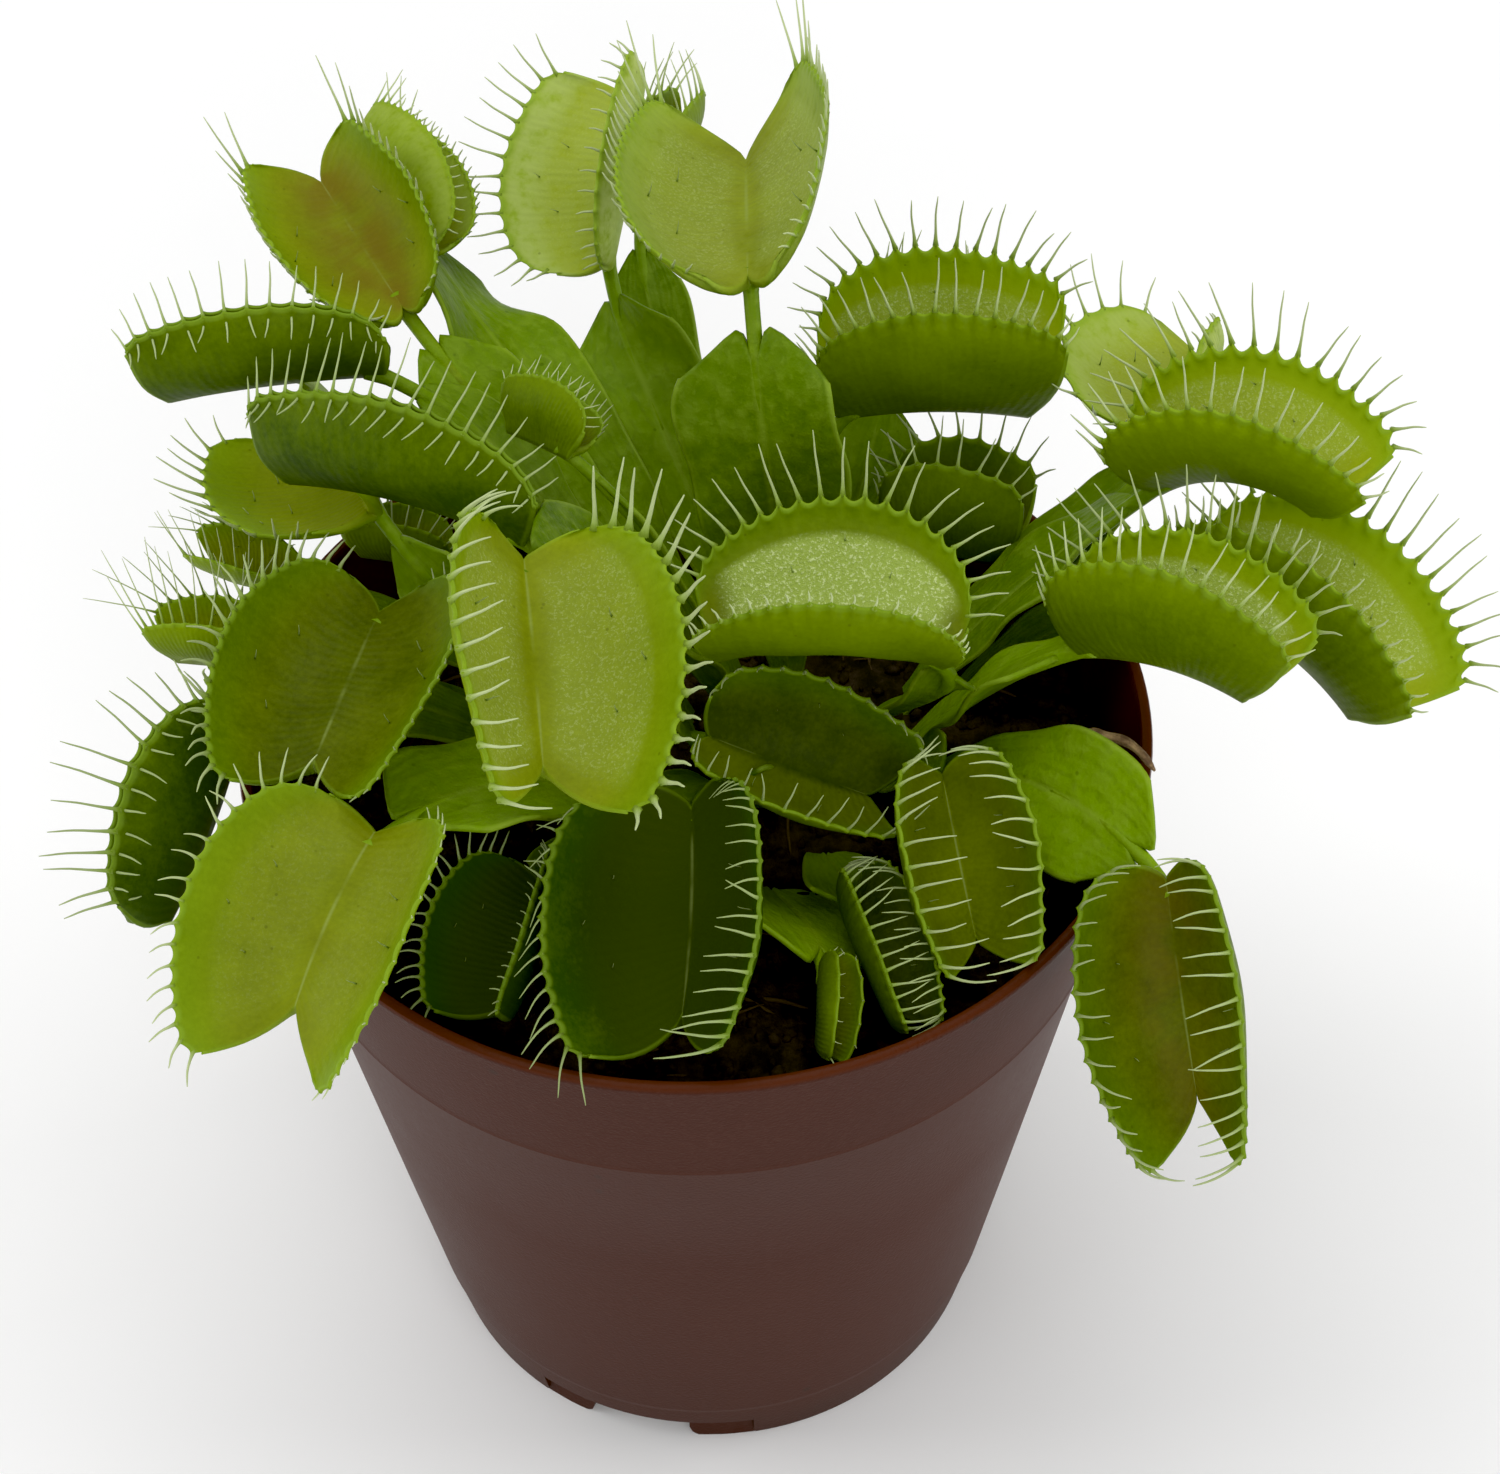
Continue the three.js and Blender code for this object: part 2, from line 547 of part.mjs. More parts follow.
// The blade and stalk: a folded strap that widens to blunt shoulders, then a round stalk
function stemGeometry(leaf) {
  const { curve, hinge, rise } = stemCurve(leaf);
  const faceUp = polar(-Math.sin(rise), leaf.root[1], Math.cos(rise));
  const rings = BLADE_STATIONS.map(({ at, share }) => {
    const middle = curve.getPointAt(at);
    const forward = curve.getTangentAt(at);
    const mix = ease(leaf.twist ?? LEAF.twist, 0.95, at);
    const up = sum([1 - mix, faceUp], [mix, hinge.mouth]);
    up.addScaledVector(forward, -up.dot(forward)).normalize();
    const side = forward.clone().cross(up);
    const round = share === 0;
    const reach = round ? LEAF.stalkRadius : stemReach(leaf, at);
    const lift = round ? 0 : reach * LEAF.fold;
    const edge = (round ? LEAF.stalkRadius : LEAF.bladeEdge) / 2;
    const rib = (round ? LEAF.stalkRadius * 2 : LEAF.bladeRib) / 2;
    const section = [[-reach, lift + edge], [0, rib], [reach, lift + edge],
      [reach, lift - edge], [0, -rib], [-reach, lift - edge]];
    return section.map(([x, z]) => sum([1, middle], [x, side], [z, up]));
  });
  return skinRings(rings);
}

// The closed skin over a row of rings with equal counts of points
function skinRings(rings) {
  const count = rings[0].length;
  const faces = [];
  for (let ring = 1; ring < rings.length; ring += 1) {
    const now = ring * count;
    const before = now - count;
    for (let k = 0; k < count; k += 1) {
      const next = (k + 1) % count;
      faces.push([before + k, before + next, now + next], [before + k, now + next, now + k]);
    }
  }
  const last = (rings.length - 1) * count;
  for (let k = 2; k < count; k += 1) {
    const next = (k + 1) % count;
    faces.push([next, k, 1], [last + 1, last + k, last + next]);
  }
  return closedGeometry(rings.flat(), faces);
}

// The plain straight socket that a leaf's stem stands in, wide enough to clear it
function socketGeometry(leaf) {
  const { curve } = stemCurve(leaf);
  const root = curve.getPointAt(0);
  const step = 0.02;
  const inSoil = [{ at: 0, point: root }];
  while (inSoil.at(-1).point.z < SOIL.top + SOIL.lump) {
    const at = inSoil.length * step;
    inSoil.push({ at, point: curve.getPointAt(at) });
  }
  const forward = inSoil.at(-1).point.clone().sub(root).normalize();
  const needs = inSoil.map(({ at, point }) => {
    const aside = point.clone().sub(root).cross(forward).length();
    return aside + stemReach(leaf, at);
  });
  const half = Math.PI / SOIL.socketSides;
  const radius = (Math.max(...needs) + SOIL.socketGap) / Math.cos(half);
  const long = SOIL.socketDepth * 4;
  const hole = new THREE.CylinderGeometry(radius, radius, long, SOIL.socketSides);
  hole.applyQuaternion(new THREE.Quaternion().setFromUnitVectors(UP, forward));
  const middle = root.addScaledVector(forward, long / 2 - 1);
  return hole.translate(middle.x, middle.y, middle.z);
}

// The curve of the dried-up stalk
function dryCurve() {
  const { root, low, high, tip } = DRY_STALK;
  const points = [root, low, high, tip].map((place) => new THREE.Vector3(...place));
  return new THREE.CubicBezierCurve3(...points);
}

// The dried-up stalk and the plain socket that it stands in
function makeDryStalk() {
  const { steps, radius, sides } = DRY_STALK;
  const curve = dryCurve();
  const { normals, binormals } = curve.computeFrenetFrames(steps, false);
  const rings = normals.map((normal, i) => {
    const middle = curve.getPointAt(i / steps);
    return Array.from({ length: sides }, (_, k) => {
      const turn = k * 2 * Math.PI / sides;
      return sum([1, middle], [radius * Math.cos(turn), normal],
        [radius * Math.sin(turn), binormals[i]]);
    });
  });
  return makeMesh('dry_stalk', skinRings(rings), FINISH.dry);
}

function drySocket() {
  const [x, y, z] = DRY_STALK.root;
  const wide = DRY_STALK.radius + 0.8;
  const long = SOIL.socketDepth * 4;
  const hole = new THREE.CylinderGeometry(wide, wide, long, SOIL.socketSides);
  return hole.rotateX(Math.PI / 2).translate(x, y, z + long / 2 - 1);
}

// One leaf: its stem and its trap grown together
function makeLeaf(leaf, number) {
  const solid = toSolid(stemGeometry(leaf)).add(toSolid(trapGeometry(leaf)));
  const name = `leaf_${String(number + 1).padStart(2, '0')}`;
  return makeMesh(name, toGeometry(solid), FINISH.leaf);
}

const plant = new THREE.Group();
plant.add(makePot());
plant.add(makeSoil([...LEAVES.map(socketGeometry), drySocket()]));
plant.add(makeDryStalk());
LEAVES.forEach((leaf, number) => plant.add(makeLeaf(leaf, number)));

export default plant;
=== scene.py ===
"""A potted venus flytrap: nursery pot, peat, 31 toothed leaves and one dried-up stalk."""

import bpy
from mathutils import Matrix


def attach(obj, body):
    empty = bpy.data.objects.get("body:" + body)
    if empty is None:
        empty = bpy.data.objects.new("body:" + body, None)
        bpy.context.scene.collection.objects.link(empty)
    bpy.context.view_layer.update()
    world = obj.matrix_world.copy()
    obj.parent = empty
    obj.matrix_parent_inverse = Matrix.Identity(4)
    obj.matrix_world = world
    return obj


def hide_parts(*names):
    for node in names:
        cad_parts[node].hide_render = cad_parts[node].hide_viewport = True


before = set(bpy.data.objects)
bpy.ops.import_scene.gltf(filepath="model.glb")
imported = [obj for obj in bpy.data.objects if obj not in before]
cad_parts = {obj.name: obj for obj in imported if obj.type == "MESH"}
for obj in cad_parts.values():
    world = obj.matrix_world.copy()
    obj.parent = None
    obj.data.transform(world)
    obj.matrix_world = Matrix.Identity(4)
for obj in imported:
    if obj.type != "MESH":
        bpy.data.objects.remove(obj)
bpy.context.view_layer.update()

import logging
import math
from dataclasses import dataclass, field
from enum import Enum, IntEnum

import bpy
import numpy as np
from mathutils import Matrix, Vector

LOG = logging.getLogger("flytrap")
MM = 0.001
# Each leaf's tone value holds both its own depth of green and painted light and shade that falls on
# it; the pale value holds a painted whitish sheen.
MARKS = ("along", "reach", "inside", "tone", "blush", "gland", "pale")

Point = tuple[float, float, float]
Shares = tuple[float, ...]
Array = np.ndarray


class Side(IntEnum):
    """The two lobes of a trap."""

    LEFT = -1
    RIGHT = 1


class Cover(IntEnum):
    """Which material of a leaf a face takes."""

    LOBE = 0
    TOOTH = 1
    BLADE = 2


class Slot(Enum):
    """The record's material slots."""

    POT = "pot"
    PEAT = "soil"
    LEAF = "leaf"
    DRY = "dry"


def unit(vectors: Array) -> Array:
    """The vectors at length one."""
    return vectors / np.linalg.norm(vectors, axis=-1, keepdims=True)


def ease(low: float, high: float, value: Array) -> Array:
    """A smooth step from 0 to 1 between two values."""
    t = np.clip((np.asarray(value, float) - low) / (high - low), 0, 1)
    return t * t * (3 - 2 * t)


def lerp(start: float, end: float, share: Array) -> Array:
    """The value at a share of the way from start to end."""
    return start + (end - start) * share


def polar(radius: float, degrees: float, z: float) -> Array:
    """A point on a circle about the vertical axis, by its turn from +X."""
    angle = math.radians(degrees)
    return np.array([radius * math.cos(angle), radius * math.sin(angle), z])


def circle(count: int) -> Array:
    """Evenly spread directions round the vertical axis, one row of x and y each."""
    turn = np.arange(count) * 2 * math.pi / count
    return np.stack([np.cos(turn), np.sin(turn)], -1)


def bezier(start: Array, low: Array, high: Array, end: Array, t: Array) -> Array:
    """Points of a curve from start to end, guided by low and high, at a column of shares."""
    return ((1 - t) ** 3 * start + 3 * (1 - t) ** 2 * t * low
            + 3 * (1 - t) * t ** 2 * high + t ** 3 * end)


@dataclass
class Skin:
    """A mesh under construction, in millimetres, with a few values at each point."""

    points: list[Array] = field(default_factory=list)
    faces: list[list[int]] = field(default_factory=list)
    covers: list[int] = field(default_factory=list)
    marks: dict[str, list[Array]] = field(default_factory=lambda: {name: [] for name in MARKS})
    count: int = 0

    def add(self, points: Array, faces: list[list[int]], cover: int = 0, **marks: Array) -> None:
        """Adds one closed surface and turns it outside out if it is inside out.

        Args:
            points: its points, one row each.
            faces: its faces, as indices into its own points.
            cover: the material index of its faces.
            marks: values at its points, one number or an array each.
        """
        if signed_volume(points, faces) < 0:
            faces = [face[::-1] for face in faces]
        self.faces.extend([[i + self.count for i in face] for face in faces])
        self.covers.extend([cover] * len(faces))
        self.points.append(points)
        for name in MARKS:
            values = np.broadcast_to(np.asarray(marks.get(name, 0.0), float), len(points))
            self.marks[name].append(values)
        self.count += len(points)

    def absorb(self, mesh: bpy.types.Mesh, cover: int, **marks: float) -> None:
        """Adds a grown mesh, in metres, with its own "along" values.

        Args:
            mesh: the mesh that a geometry node tree has grown.
            cover: the material index of its faces.
            marks: values that are the same at all its points.
        """
        points = np.zeros(len(mesh.vertices) * 3)
        mesh.vertices.foreach_get("co", points)
        along = np.zeros(len(mesh.vertices))
        mesh.attributes["along"].data.foreach_get("value", along)
        faces = [list(face.vertices) for face in mesh.polygons]
        self.add(points.reshape(-1, 3) / MM, faces, cover, along=along, **marks)

    def build(self, name: str, materials: list[bpy.types.Material]) -> bpy.types.Object:
        """Makes the object, at the origin, smooth and in metres.

        Args:
            name: the piece's name.
            materials: its materials, in the order of the cover indices.

        Returns:
            The linked object.
        """
        mesh = bpy.data.meshes.new(name)
        mesh.from_pydata((np.vstack(self.points) * MM).tolist(), [], self.faces)
        for mark, parts in self.marks.items():
            attribute = mesh.attributes.new(mark, "FLOAT", "POINT")
            attribute.data.foreach_set("value", np.concatenate(parts).astype(np.float32))
        for material in materials:
            mesh.materials.append(material)
        mesh.polygons.foreach_set("material_index", self.covers)
        mesh.shade_smooth()
        mesh.update()
        return linked(name, mesh)


def signed_volume(points: Array, faces: list[list[int]]) -> float:
    """The volume that a closed surface holds, below 0 if it is inside out."""
    total = 0.0
    by_size = {}
    for face in faces:
        by_size.setdefault(len(face), []).append(face)
    for size, group in by_size.items():
        index = np.array(group)
        first = points[index[:, 0]]
        for k in range(1, size - 1):
            cross = np.cross(points[index[:, k]], points[index[:, k + 1]])
            total += float(np.einsum("ij,ij->", first, cross))
    return total


def linked(name: str, mesh: bpy.types.Mesh) -> bpy.types.Object:
    """A new object of a mesh, in the scene."""
    thing = bpy.data.objects.new(name, mesh)
    bpy.context.scene.collection.objects.link(thing)
    return thing


def evaluated_mesh(thing: bpy.types.Object, layers: bool) -> bpy.types.Mesh:
    """An object's mesh as its modifiers leave it, with or without the values at its points."""
    bpy.context.view_layer.update()
    graph = bpy.context.evaluated_depsgraph_get()
    return bpy.data.meshes.new_from_object(
        thing.evaluated_get(graph), preserve_all_data_layers=layers, depsgraph=graph)


def closed_skin(points: Array, faces: list[list[int]]) -> Skin:
    """A skin of one closed surface."""
    skin = Skin()
    skin.add(points, faces)
    return skin


def tube_faces(rings: int, count: int) -> list[list[int]]:
    """The quads between rings of points, each ring closed.

    Args:
        rings: how many rings there are.
        count: how many points each ring has.

    Returns:
        The faces, as indices of points listed ring by ring.
    """
    k = np.arange(count)
    after = (k + 1) % count
    rows = np.arange(rings - 1)[:, None] * count
    quads = np.stack([rows + k, rows + after, rows + count + after, rows + count + k], axis=-1)
    return quads.reshape(-1, 4).tolist()


def capped_tube(rings: int, count: int, cap: list[list[int]]) -> list[list[int]]:
    """The faces of a tube, closed at both ends by the faces of a cap on its first ring."""
    last = (rings - 1) * count
    ends = [face[::-1] for face in cap] + [[i + last for i in face] for face in cap]
    return tube_faces(rings, count) + ends


def plain_tube(line: Array, radii: Array, sides: int) -> tuple[Array, list[list[int]]]:
    """A round tube along a line, closed at both ends.

    Args:
        line: the points of its middle line.
        radii: its radius at each point.
        sides: how many sides it has.

    Returns:
        Its points and faces.
    """
    forward = unit(np.gradient(line, axis=0))
    side = unit(np.cross(forward, np.array([0.31, 0.17, 0.93])))
    up = np.cross(side, forward)
    cos, sin = circle(sides).T[:, None, :, None]
    ring = cos * side[:, None] + sin * up[:, None]
    points = (line[:, None] + radii[:, None, None] * ring).reshape(-1, 3)
    return points, capped_tube(len(line), sides, [list(range(sides))])


class Value:
    """A number that varies over a surface: a shader socket with Python's arithmetic."""

    def __init__(self, shader: "Shader", socket: bpy.types.NodeSocket) -> None:
        """Wraps a socket of the shader's tree."""
        self.shader = shader
        self.socket = socket

    def _math(self, operation: str, *values: "Value | float") -> "Value":
        """The result of a Math node."""
        inputs = dict(enumerate(values))
        node = self.shader.node("ShaderNodeMath", {"operation": operation}, inputs)
        return Value(self.shader, node.outputs[0])

    def __add__(self, other: "Value | float") -> "Value":
        """The sum."""
        return self._math("ADD", self, other)

    __radd__ = __add__

    def __mul__(self, other: "Value | float") -> "Value":
        """The product."""
        return self._math("MULTIPLY", self, other)

    __rmul__ = __mul__

    def __sub__(self, other: "Value | float") -> "Value":
        """The difference."""
        return self._math("SUBTRACT", self, other)

    def __rsub__(self, other: float) -> "Value":
        """A number less this value."""
        return self._math("SUBTRACT", other, self)

    def sine(self) -> "Value":
        """Its sine."""
        return self._math("SINE", self)

    def stripes(self) -> "Value":
        """Its sine, brought between 0 and 1."""
        return self.sine() * 0.5 + 0.5

    def between(self, low: float, high: float) -> "Value":
        """A smooth step from 0 at low to 1 at high, or the other way if low is above high."""
        inputs = {"Value": self, "From Min": min(low, high), "From Max": max(low, high),
                  "To Min": float(low > high), "To Max": float(low <= high)}
        node = self.shader.node("ShaderNodeMapRange", {"interpolation_type": "SMOOTHSTEP"}, inputs)
        return Value(self.shader, node.outputs[0])


class NodeMaker:
    """Something that adds nodes to a tree of its own."""

    tree: bpy.types.NodeTree

    def node(self, kind: str, settings: dict | None = None,
             inputs: dict | None = None) -> bpy.types.Node:
        """Adds a node.

        Args:
            kind: the node's type.
            settings: its own properties, set first.
            inputs: numbers, colours, sockets or Values for its sockets, by name or index.

        Returns:
            The node.
        """
        node = self.tree.nodes.new(kind)
        for key, value in (settings or {}).items():
            setattr(node, key, value)
        for key, value in (inputs or {}).items():
            source = value.socket if isinstance(value, Value) else value
            if isinstance(source, bpy.types.NodeSocket):
                self.tree.links.new(source, node.inputs[key])
            else:
                node.inputs[key].default_value = source
        return node


class Shader(NodeMaker):
    """One procedural material: it makes nodes, joins them and sets what stays the same."""

    def __init__(self, name: str) -> None:
        """Starts an empty material."""
        self.material = bpy.data.materials.new(name)
        self.material.use_nodes = True
        self.tree = self.material.node_tree
        self.tree.nodes.clear()
        self.places = self.node("ShaderNodeTexCoord").outputs["Object"]

    def mark(self, name: str) -> Value:
        """The piece's own value of that name."""
        node = self.node("ShaderNodeAttribute", {"attribute_name": name})
        return Value(self, node.outputs["Fac"])

    def noise(self, size: float, detail: float = 2.0, roughness: float = 0.5,
              places: bpy.types.NodeSocket | None = None) -> Value:
        """Soft noise from 0 to 1.

        Args:
            size: how big its blots are, in millimetres.
            detail: how many finer layers it has.
            roughness: how strong they are.
            places: the coordinates, or the object's own.

        Returns:
            The noise.
        """
        inputs = {"Vector": places or self.places, "Scale": 1 / (size * MM),
                  "Detail": detail, "Roughness": roughness}
        return Value(self, self.node("ShaderNodeTexNoise", None, inputs).outputs[0])

    def cells(self, size: float, feature: str = "F1") -> Value:
        """The distance to the nearest of scattered points, in cells of a size in millimetres."""
        inputs = {"Vector": self.places, "Scale": 1 / (size * MM)}
        node = self.node("ShaderNodeTexVoronoi", {"feature": feature}, inputs)
        return Value(self, node.outputs["Distance"])

    def near(self, place: Point) -> Value:
        """The distance from a place, in millimetres."""
        spot = tuple(v * MM for v in place)
        node = self.node("ShaderNodeVectorMath", {"operation": "DISTANCE"},
                         {0: self.places, 1: spot})
        return Value(self, node.outputs["Value"]) * (1 / MM)

    def stretched(self, scale: Point) -> bpy.types.NodeSocket:
        """The object's coordinates, stretched for streaks."""
        node = self.node("ShaderNodeMapping", None, {"Vector": self.places, "Scale": scale})
        return node.outputs[0]

    def blend(self, share: Value, start: object, end: object) -> bpy.types.NodeSocket:
        """A colour between two others.

        Args:
            share: 0 for start to 1 for end.
            start: a colour or a colour socket.
            end: a colour or a colour socket.

        Returns:
            The colour socket.
        """
        rgba = [(*c, 1.0) if isinstance(c, tuple) else c for c in (start, end)]
        node = self.node("ShaderNodeMix", {"data_type": "RGBA"},
                         {0: share, 6: rgba[0], 7: rgba[1]})
        return node.outputs[2]

    def layers(self, color: object, *coats: tuple[Value, object]) -> bpy.types.NodeSocket:
        """A colour with others over it, one after the other.

        Args:
            color: the colour or colour socket at the bottom.
            coats: the share and the colour or colour socket of each layer.

        Returns:
            The colour socket.
        """
        for share, top in coats:
            color = self.blend(share, color, top)
        return color

    def bump(self, height: Value, depth: float, strength: float = 1.0,
             under: bpy.types.NodeSocket | None = None) -> bpy.types.NodeSocket:
        """A bump normal.

        Args:
            height: the height, 0 to 1.
            depth: how far 1 stands up, in millimetres.
            strength: how strongly it shows.
            under: another bump that it lies on.

        Returns:
            The normal socket.
        """
        inputs = {"Height": height, "Distance": depth * MM, "Strength": strength}
        if under is not None:
            inputs["Normal"] = under
        return self.node("ShaderNodeBump", None, inputs).outputs[0]

    def finish(self, color: object, roughness: Value | float, specular: float,
               normal: bpy.types.NodeSocket | None = None) -> bpy.types.Material:
        """Closes the material.

        Args:
            color: its colour socket.
            roughness: its roughness.
            specular: how strongly it mirrors, the same all over.
            normal: its bump normal.

        Returns:
            The material.
        """
        inputs = {"Base Color": color, "Roughness": roughness, "Specular IOR Level": specular}
        if normal is not None:
            inputs["Normal"] = normal
        body = self.node("ShaderNodeBsdfPrincipled", None, inputs)
        self.node("ShaderNodeOutputMaterial", None, {"Surface": body.outputs[0]})
        return self.material


@dataclass(frozen=True)
class LobeFinish:
    """The trap's lobes: deep satin outside, lime and glandular inside, a pale rim, painted glints
    on the glands and a painted whitish sheen.
    """

    outer_deep: Point = (0.028, 0.062, 0.0003)
    outer_fresh: Point = (0.26, 0.38, 0.002)
    inner_deep: Point = (0.034, 0.058, 0.0003)
    inner_fresh: Point = (0.3, 0.37, 0.012)
    edge_deep: Point = (0.024, 0.075, 0.0003)
    edge_fresh: Point = (0.24, 0.38, 0.01)
    gland: Point = (0.42, 0.55, 0.11)
    # grain is a painted glint: near-white specks on the glands that stand in for highlights.
    grain: Point = (0.78, 0.88, 0.45)
    rim: Point = (0.24, 0.38, 0.03)
    # pale is a painted whitish sheen on the lobes.
    pale: Point = (0.44, 0.53, 0.15)
    midrib: Point = (0.32, 0.4, 0.11)
    flush: Point = (0.16, 0.09, 0.008)
    speck: Point = (0.05, 0.06, 0.004)
    specular: float = 0.08

    def material(self) -> bpy.types.Material:
        """Builds the material."""
        shader = Shader("lobe")
        along, reach = shader.mark("along"), shader.mark("reach")
        inside, tone = shader.mark("inside"), shader.mark("tone")
        cloud = shader.noise(7, 3, 0.55)
        mottle = shader.noise(1.6, 3, 0.6)
        fleck = shader.noise(0.5, 2, 0.6)
        # The leaf's tone is partly painted light and shade: leaves lying in shadow get a deeper
        # green, lit ones a fresher one.
        lift = tone + (cloud - 0.5) * 0.4 + (mottle - 0.5) * 0.2 + (fleck - 0.5) * 0.22
        lift = lift + (reach.between(0.35, 1.0) - 0.4) * 0.16
        outer = shader.blend(lift, self.outer_deep, self.outer_fresh)
        inner = shader.blend(lift, self.inner_deep, self.inner_fresh)
        edge = shader.blend(lift, self.edge_deep, self.edge_fresh)
        middle = inside * reach.between(0.76, 0.66) * reach.between(0.06, 0.2)
        middle = middle * along.between(0.05, 0.16) * along.between(0.95, 0.84)
        gland = middle * shader.mark("gland")
        # These grains give the glands real bumps and, in colour, painted pale glints.
        grains_and_glints = shader.noise(0.3, 3, 0.75)
        inner = shader.layers(inner, (reach.between(0.5, 0.95) * 0.75, edge),
                              (gland * 0.8, self.gland),
                              (grains_and_glints.between(0.52, 0.64) * gland * 0.75, self.grain))
        # Painted sheen: a whitish band near the margin, scaled by the leaf's pale value.
        painted_sheen = reach.between(0.55, 0.8) * reach.between(0.98, 0.88) * 0.55 + 0.35
        painted_sheen = painted_sheen * mottle.between(0.15, 0.6) * shader.mark("pale")
        blot = shader.noise(5, 2, 0.5).between(0.35, 0.62)
        warm = shader.mark("blush") * reach.between(0.7, 0.1) * (0.4 + 0.6 * blot)
        band = reach.between(0.94, 1.0) * (0.4 + 0.15 * inside)
        ends = along.between(0.012, 0.0) + along.between(0.988, 1.0)
        rib = reach.between(0.025, 0.0) * cloud.between(0.35, 0.6)
        lines = (along * 210.0 + cloud * 9.0).stripes() * mottle.between(0.4, 0.7)
        specks = shader.cells(2.6).between(0.08, 0.04)
        color = shader.layers(
            outer, (inside.between(0.3, 0.7), inner), (painted_sheen, self.pale),
            (warm * 0.75, self.flush), (band, self.rim), (ends * 0.3, self.rim),
            (rib * 0.4, self.midrib), (lines * 0.07, self.outer_deep), (specks * 0.35, self.speck))
        veins = (along * 150.0 + cloud * 6.0).stripes()
        normal = shader.bump(mottle, 0.16, 0.6)
        normal = shader.bump(veins * reach.between(1.0, 0.7), 0.04, 0.6, normal)
        normal = shader.bump(grains_and_glints * gland, 0.3, 0.9, normal)
        rough = 0.48 + (mottle - 0.5) * 0.2 - gland * 0.14
        return shader.finish(color, rough, self.specular, normal)


@dataclass(frozen=True)
class ToothFinish:
    """The teeth: green at the root, pale cream-green to the tip, darker on low-tone leaves as
    painted shade.
    """

    root: Point = (0.24, 0.35, 0.04)
    tip: Point = (0.46, 0.54, 0.26)
    deep: Point = (0.12, 0.2, 0.02)
    specular: float = 0.2

    def material(self) -> bpy.types.Material:
        """Builds the material."""
        shader = Shader("tooth")
        along = shader.mark("along")
        patches = shader.noise(1.2, 2, 0.5)
        # Partly painted shade: the teeth of leaves with a low tone, which lie in shadow, are
        # darkened.
        color = shader.layers(self.root, (along.between(0.0, 0.45), self.tip),
                              (shader.mark("tone").between(0.4, 0.0) * 0.4, self.deep),
                              (patches.between(0.6, 0.8) * 0.25, self.root))
        normal = shader.bump(patches, 0.05, 0.4)
        return shader.finish(color, 0.45 + (patches - 0.5) * 0.2, self.specular, normal)


@dataclass(frozen=True)
class BladeFinish:
    """The winged stalk: mid green, with a paler midrib and faint lengthwise veins."""

    deep: Point = (0.026, 0.068, 0.0003)
    fresh: Point = (0.2, 0.34, 0.006)
    pale: Point = (0.28, 0.4, 0.04)
    root: Point = (0.3, 0.24, 0.12)
    flush: Point = (0.16, 0.09, 0.01)
    specular: float = 0.1

    def material(self) -> bpy.types.Material:
        """Builds the material."""
        shader = Shader("blade")
        along, reach = shader.mark("along"), shader.mark("reach")
        tone = shader.mark("tone")
        cloud = shader.noise(6, 3, 0.55)
        quilt = shader.cells(1.7, "SMOOTH_F1")
        blotch = shader.noise(1.1, 3, 0.65)
        streak = (reach * 22.0 + cloud * 16.0).sine() * blotch.between(0.3, 0.6)
        spots = shader.cells(3.1).between(0.09, 0.05)
        warm = shader.mark("blush") * 0.5 * cloud.between(0.4, 0.7)
        # The blade's tone is partly painted light and shade: blades lying in shadow get a deeper
        # green, lit ones a fresher one.
        color = shader.layers(
            self.deep, (tone + (cloud - 0.5) * 0.6, self.fresh),
            (quilt.between(0.25, 0.75) * 0.22, self.pale),
            (blotch.between(0.45, 0.7) * 0.22, self.pale),
            (streak.between(0.3, 0.9) * 0.16, self.deep), (spots * 0.4, self.deep),
            (reach.between(0.09, 0.0) * 0.4, self.pale),
            (reach.between(0.94, 1.0) * 0.45, self.pale),
            (along.between(0.16, 0.04) * 0.7, self.root), (warm, self.flush))
        veins = (reach * 40.0 + cloud * 14.0).stripes()
        normal = shader.bump(quilt + blotch, 0.25, 0.6)
        normal = shader.bump(veins, 0.05, 0.4, normal)
        rough = 0.46 + (cloud - 0.5) * 0.25
        return shader.finish(color, rough, self.specular, normal)


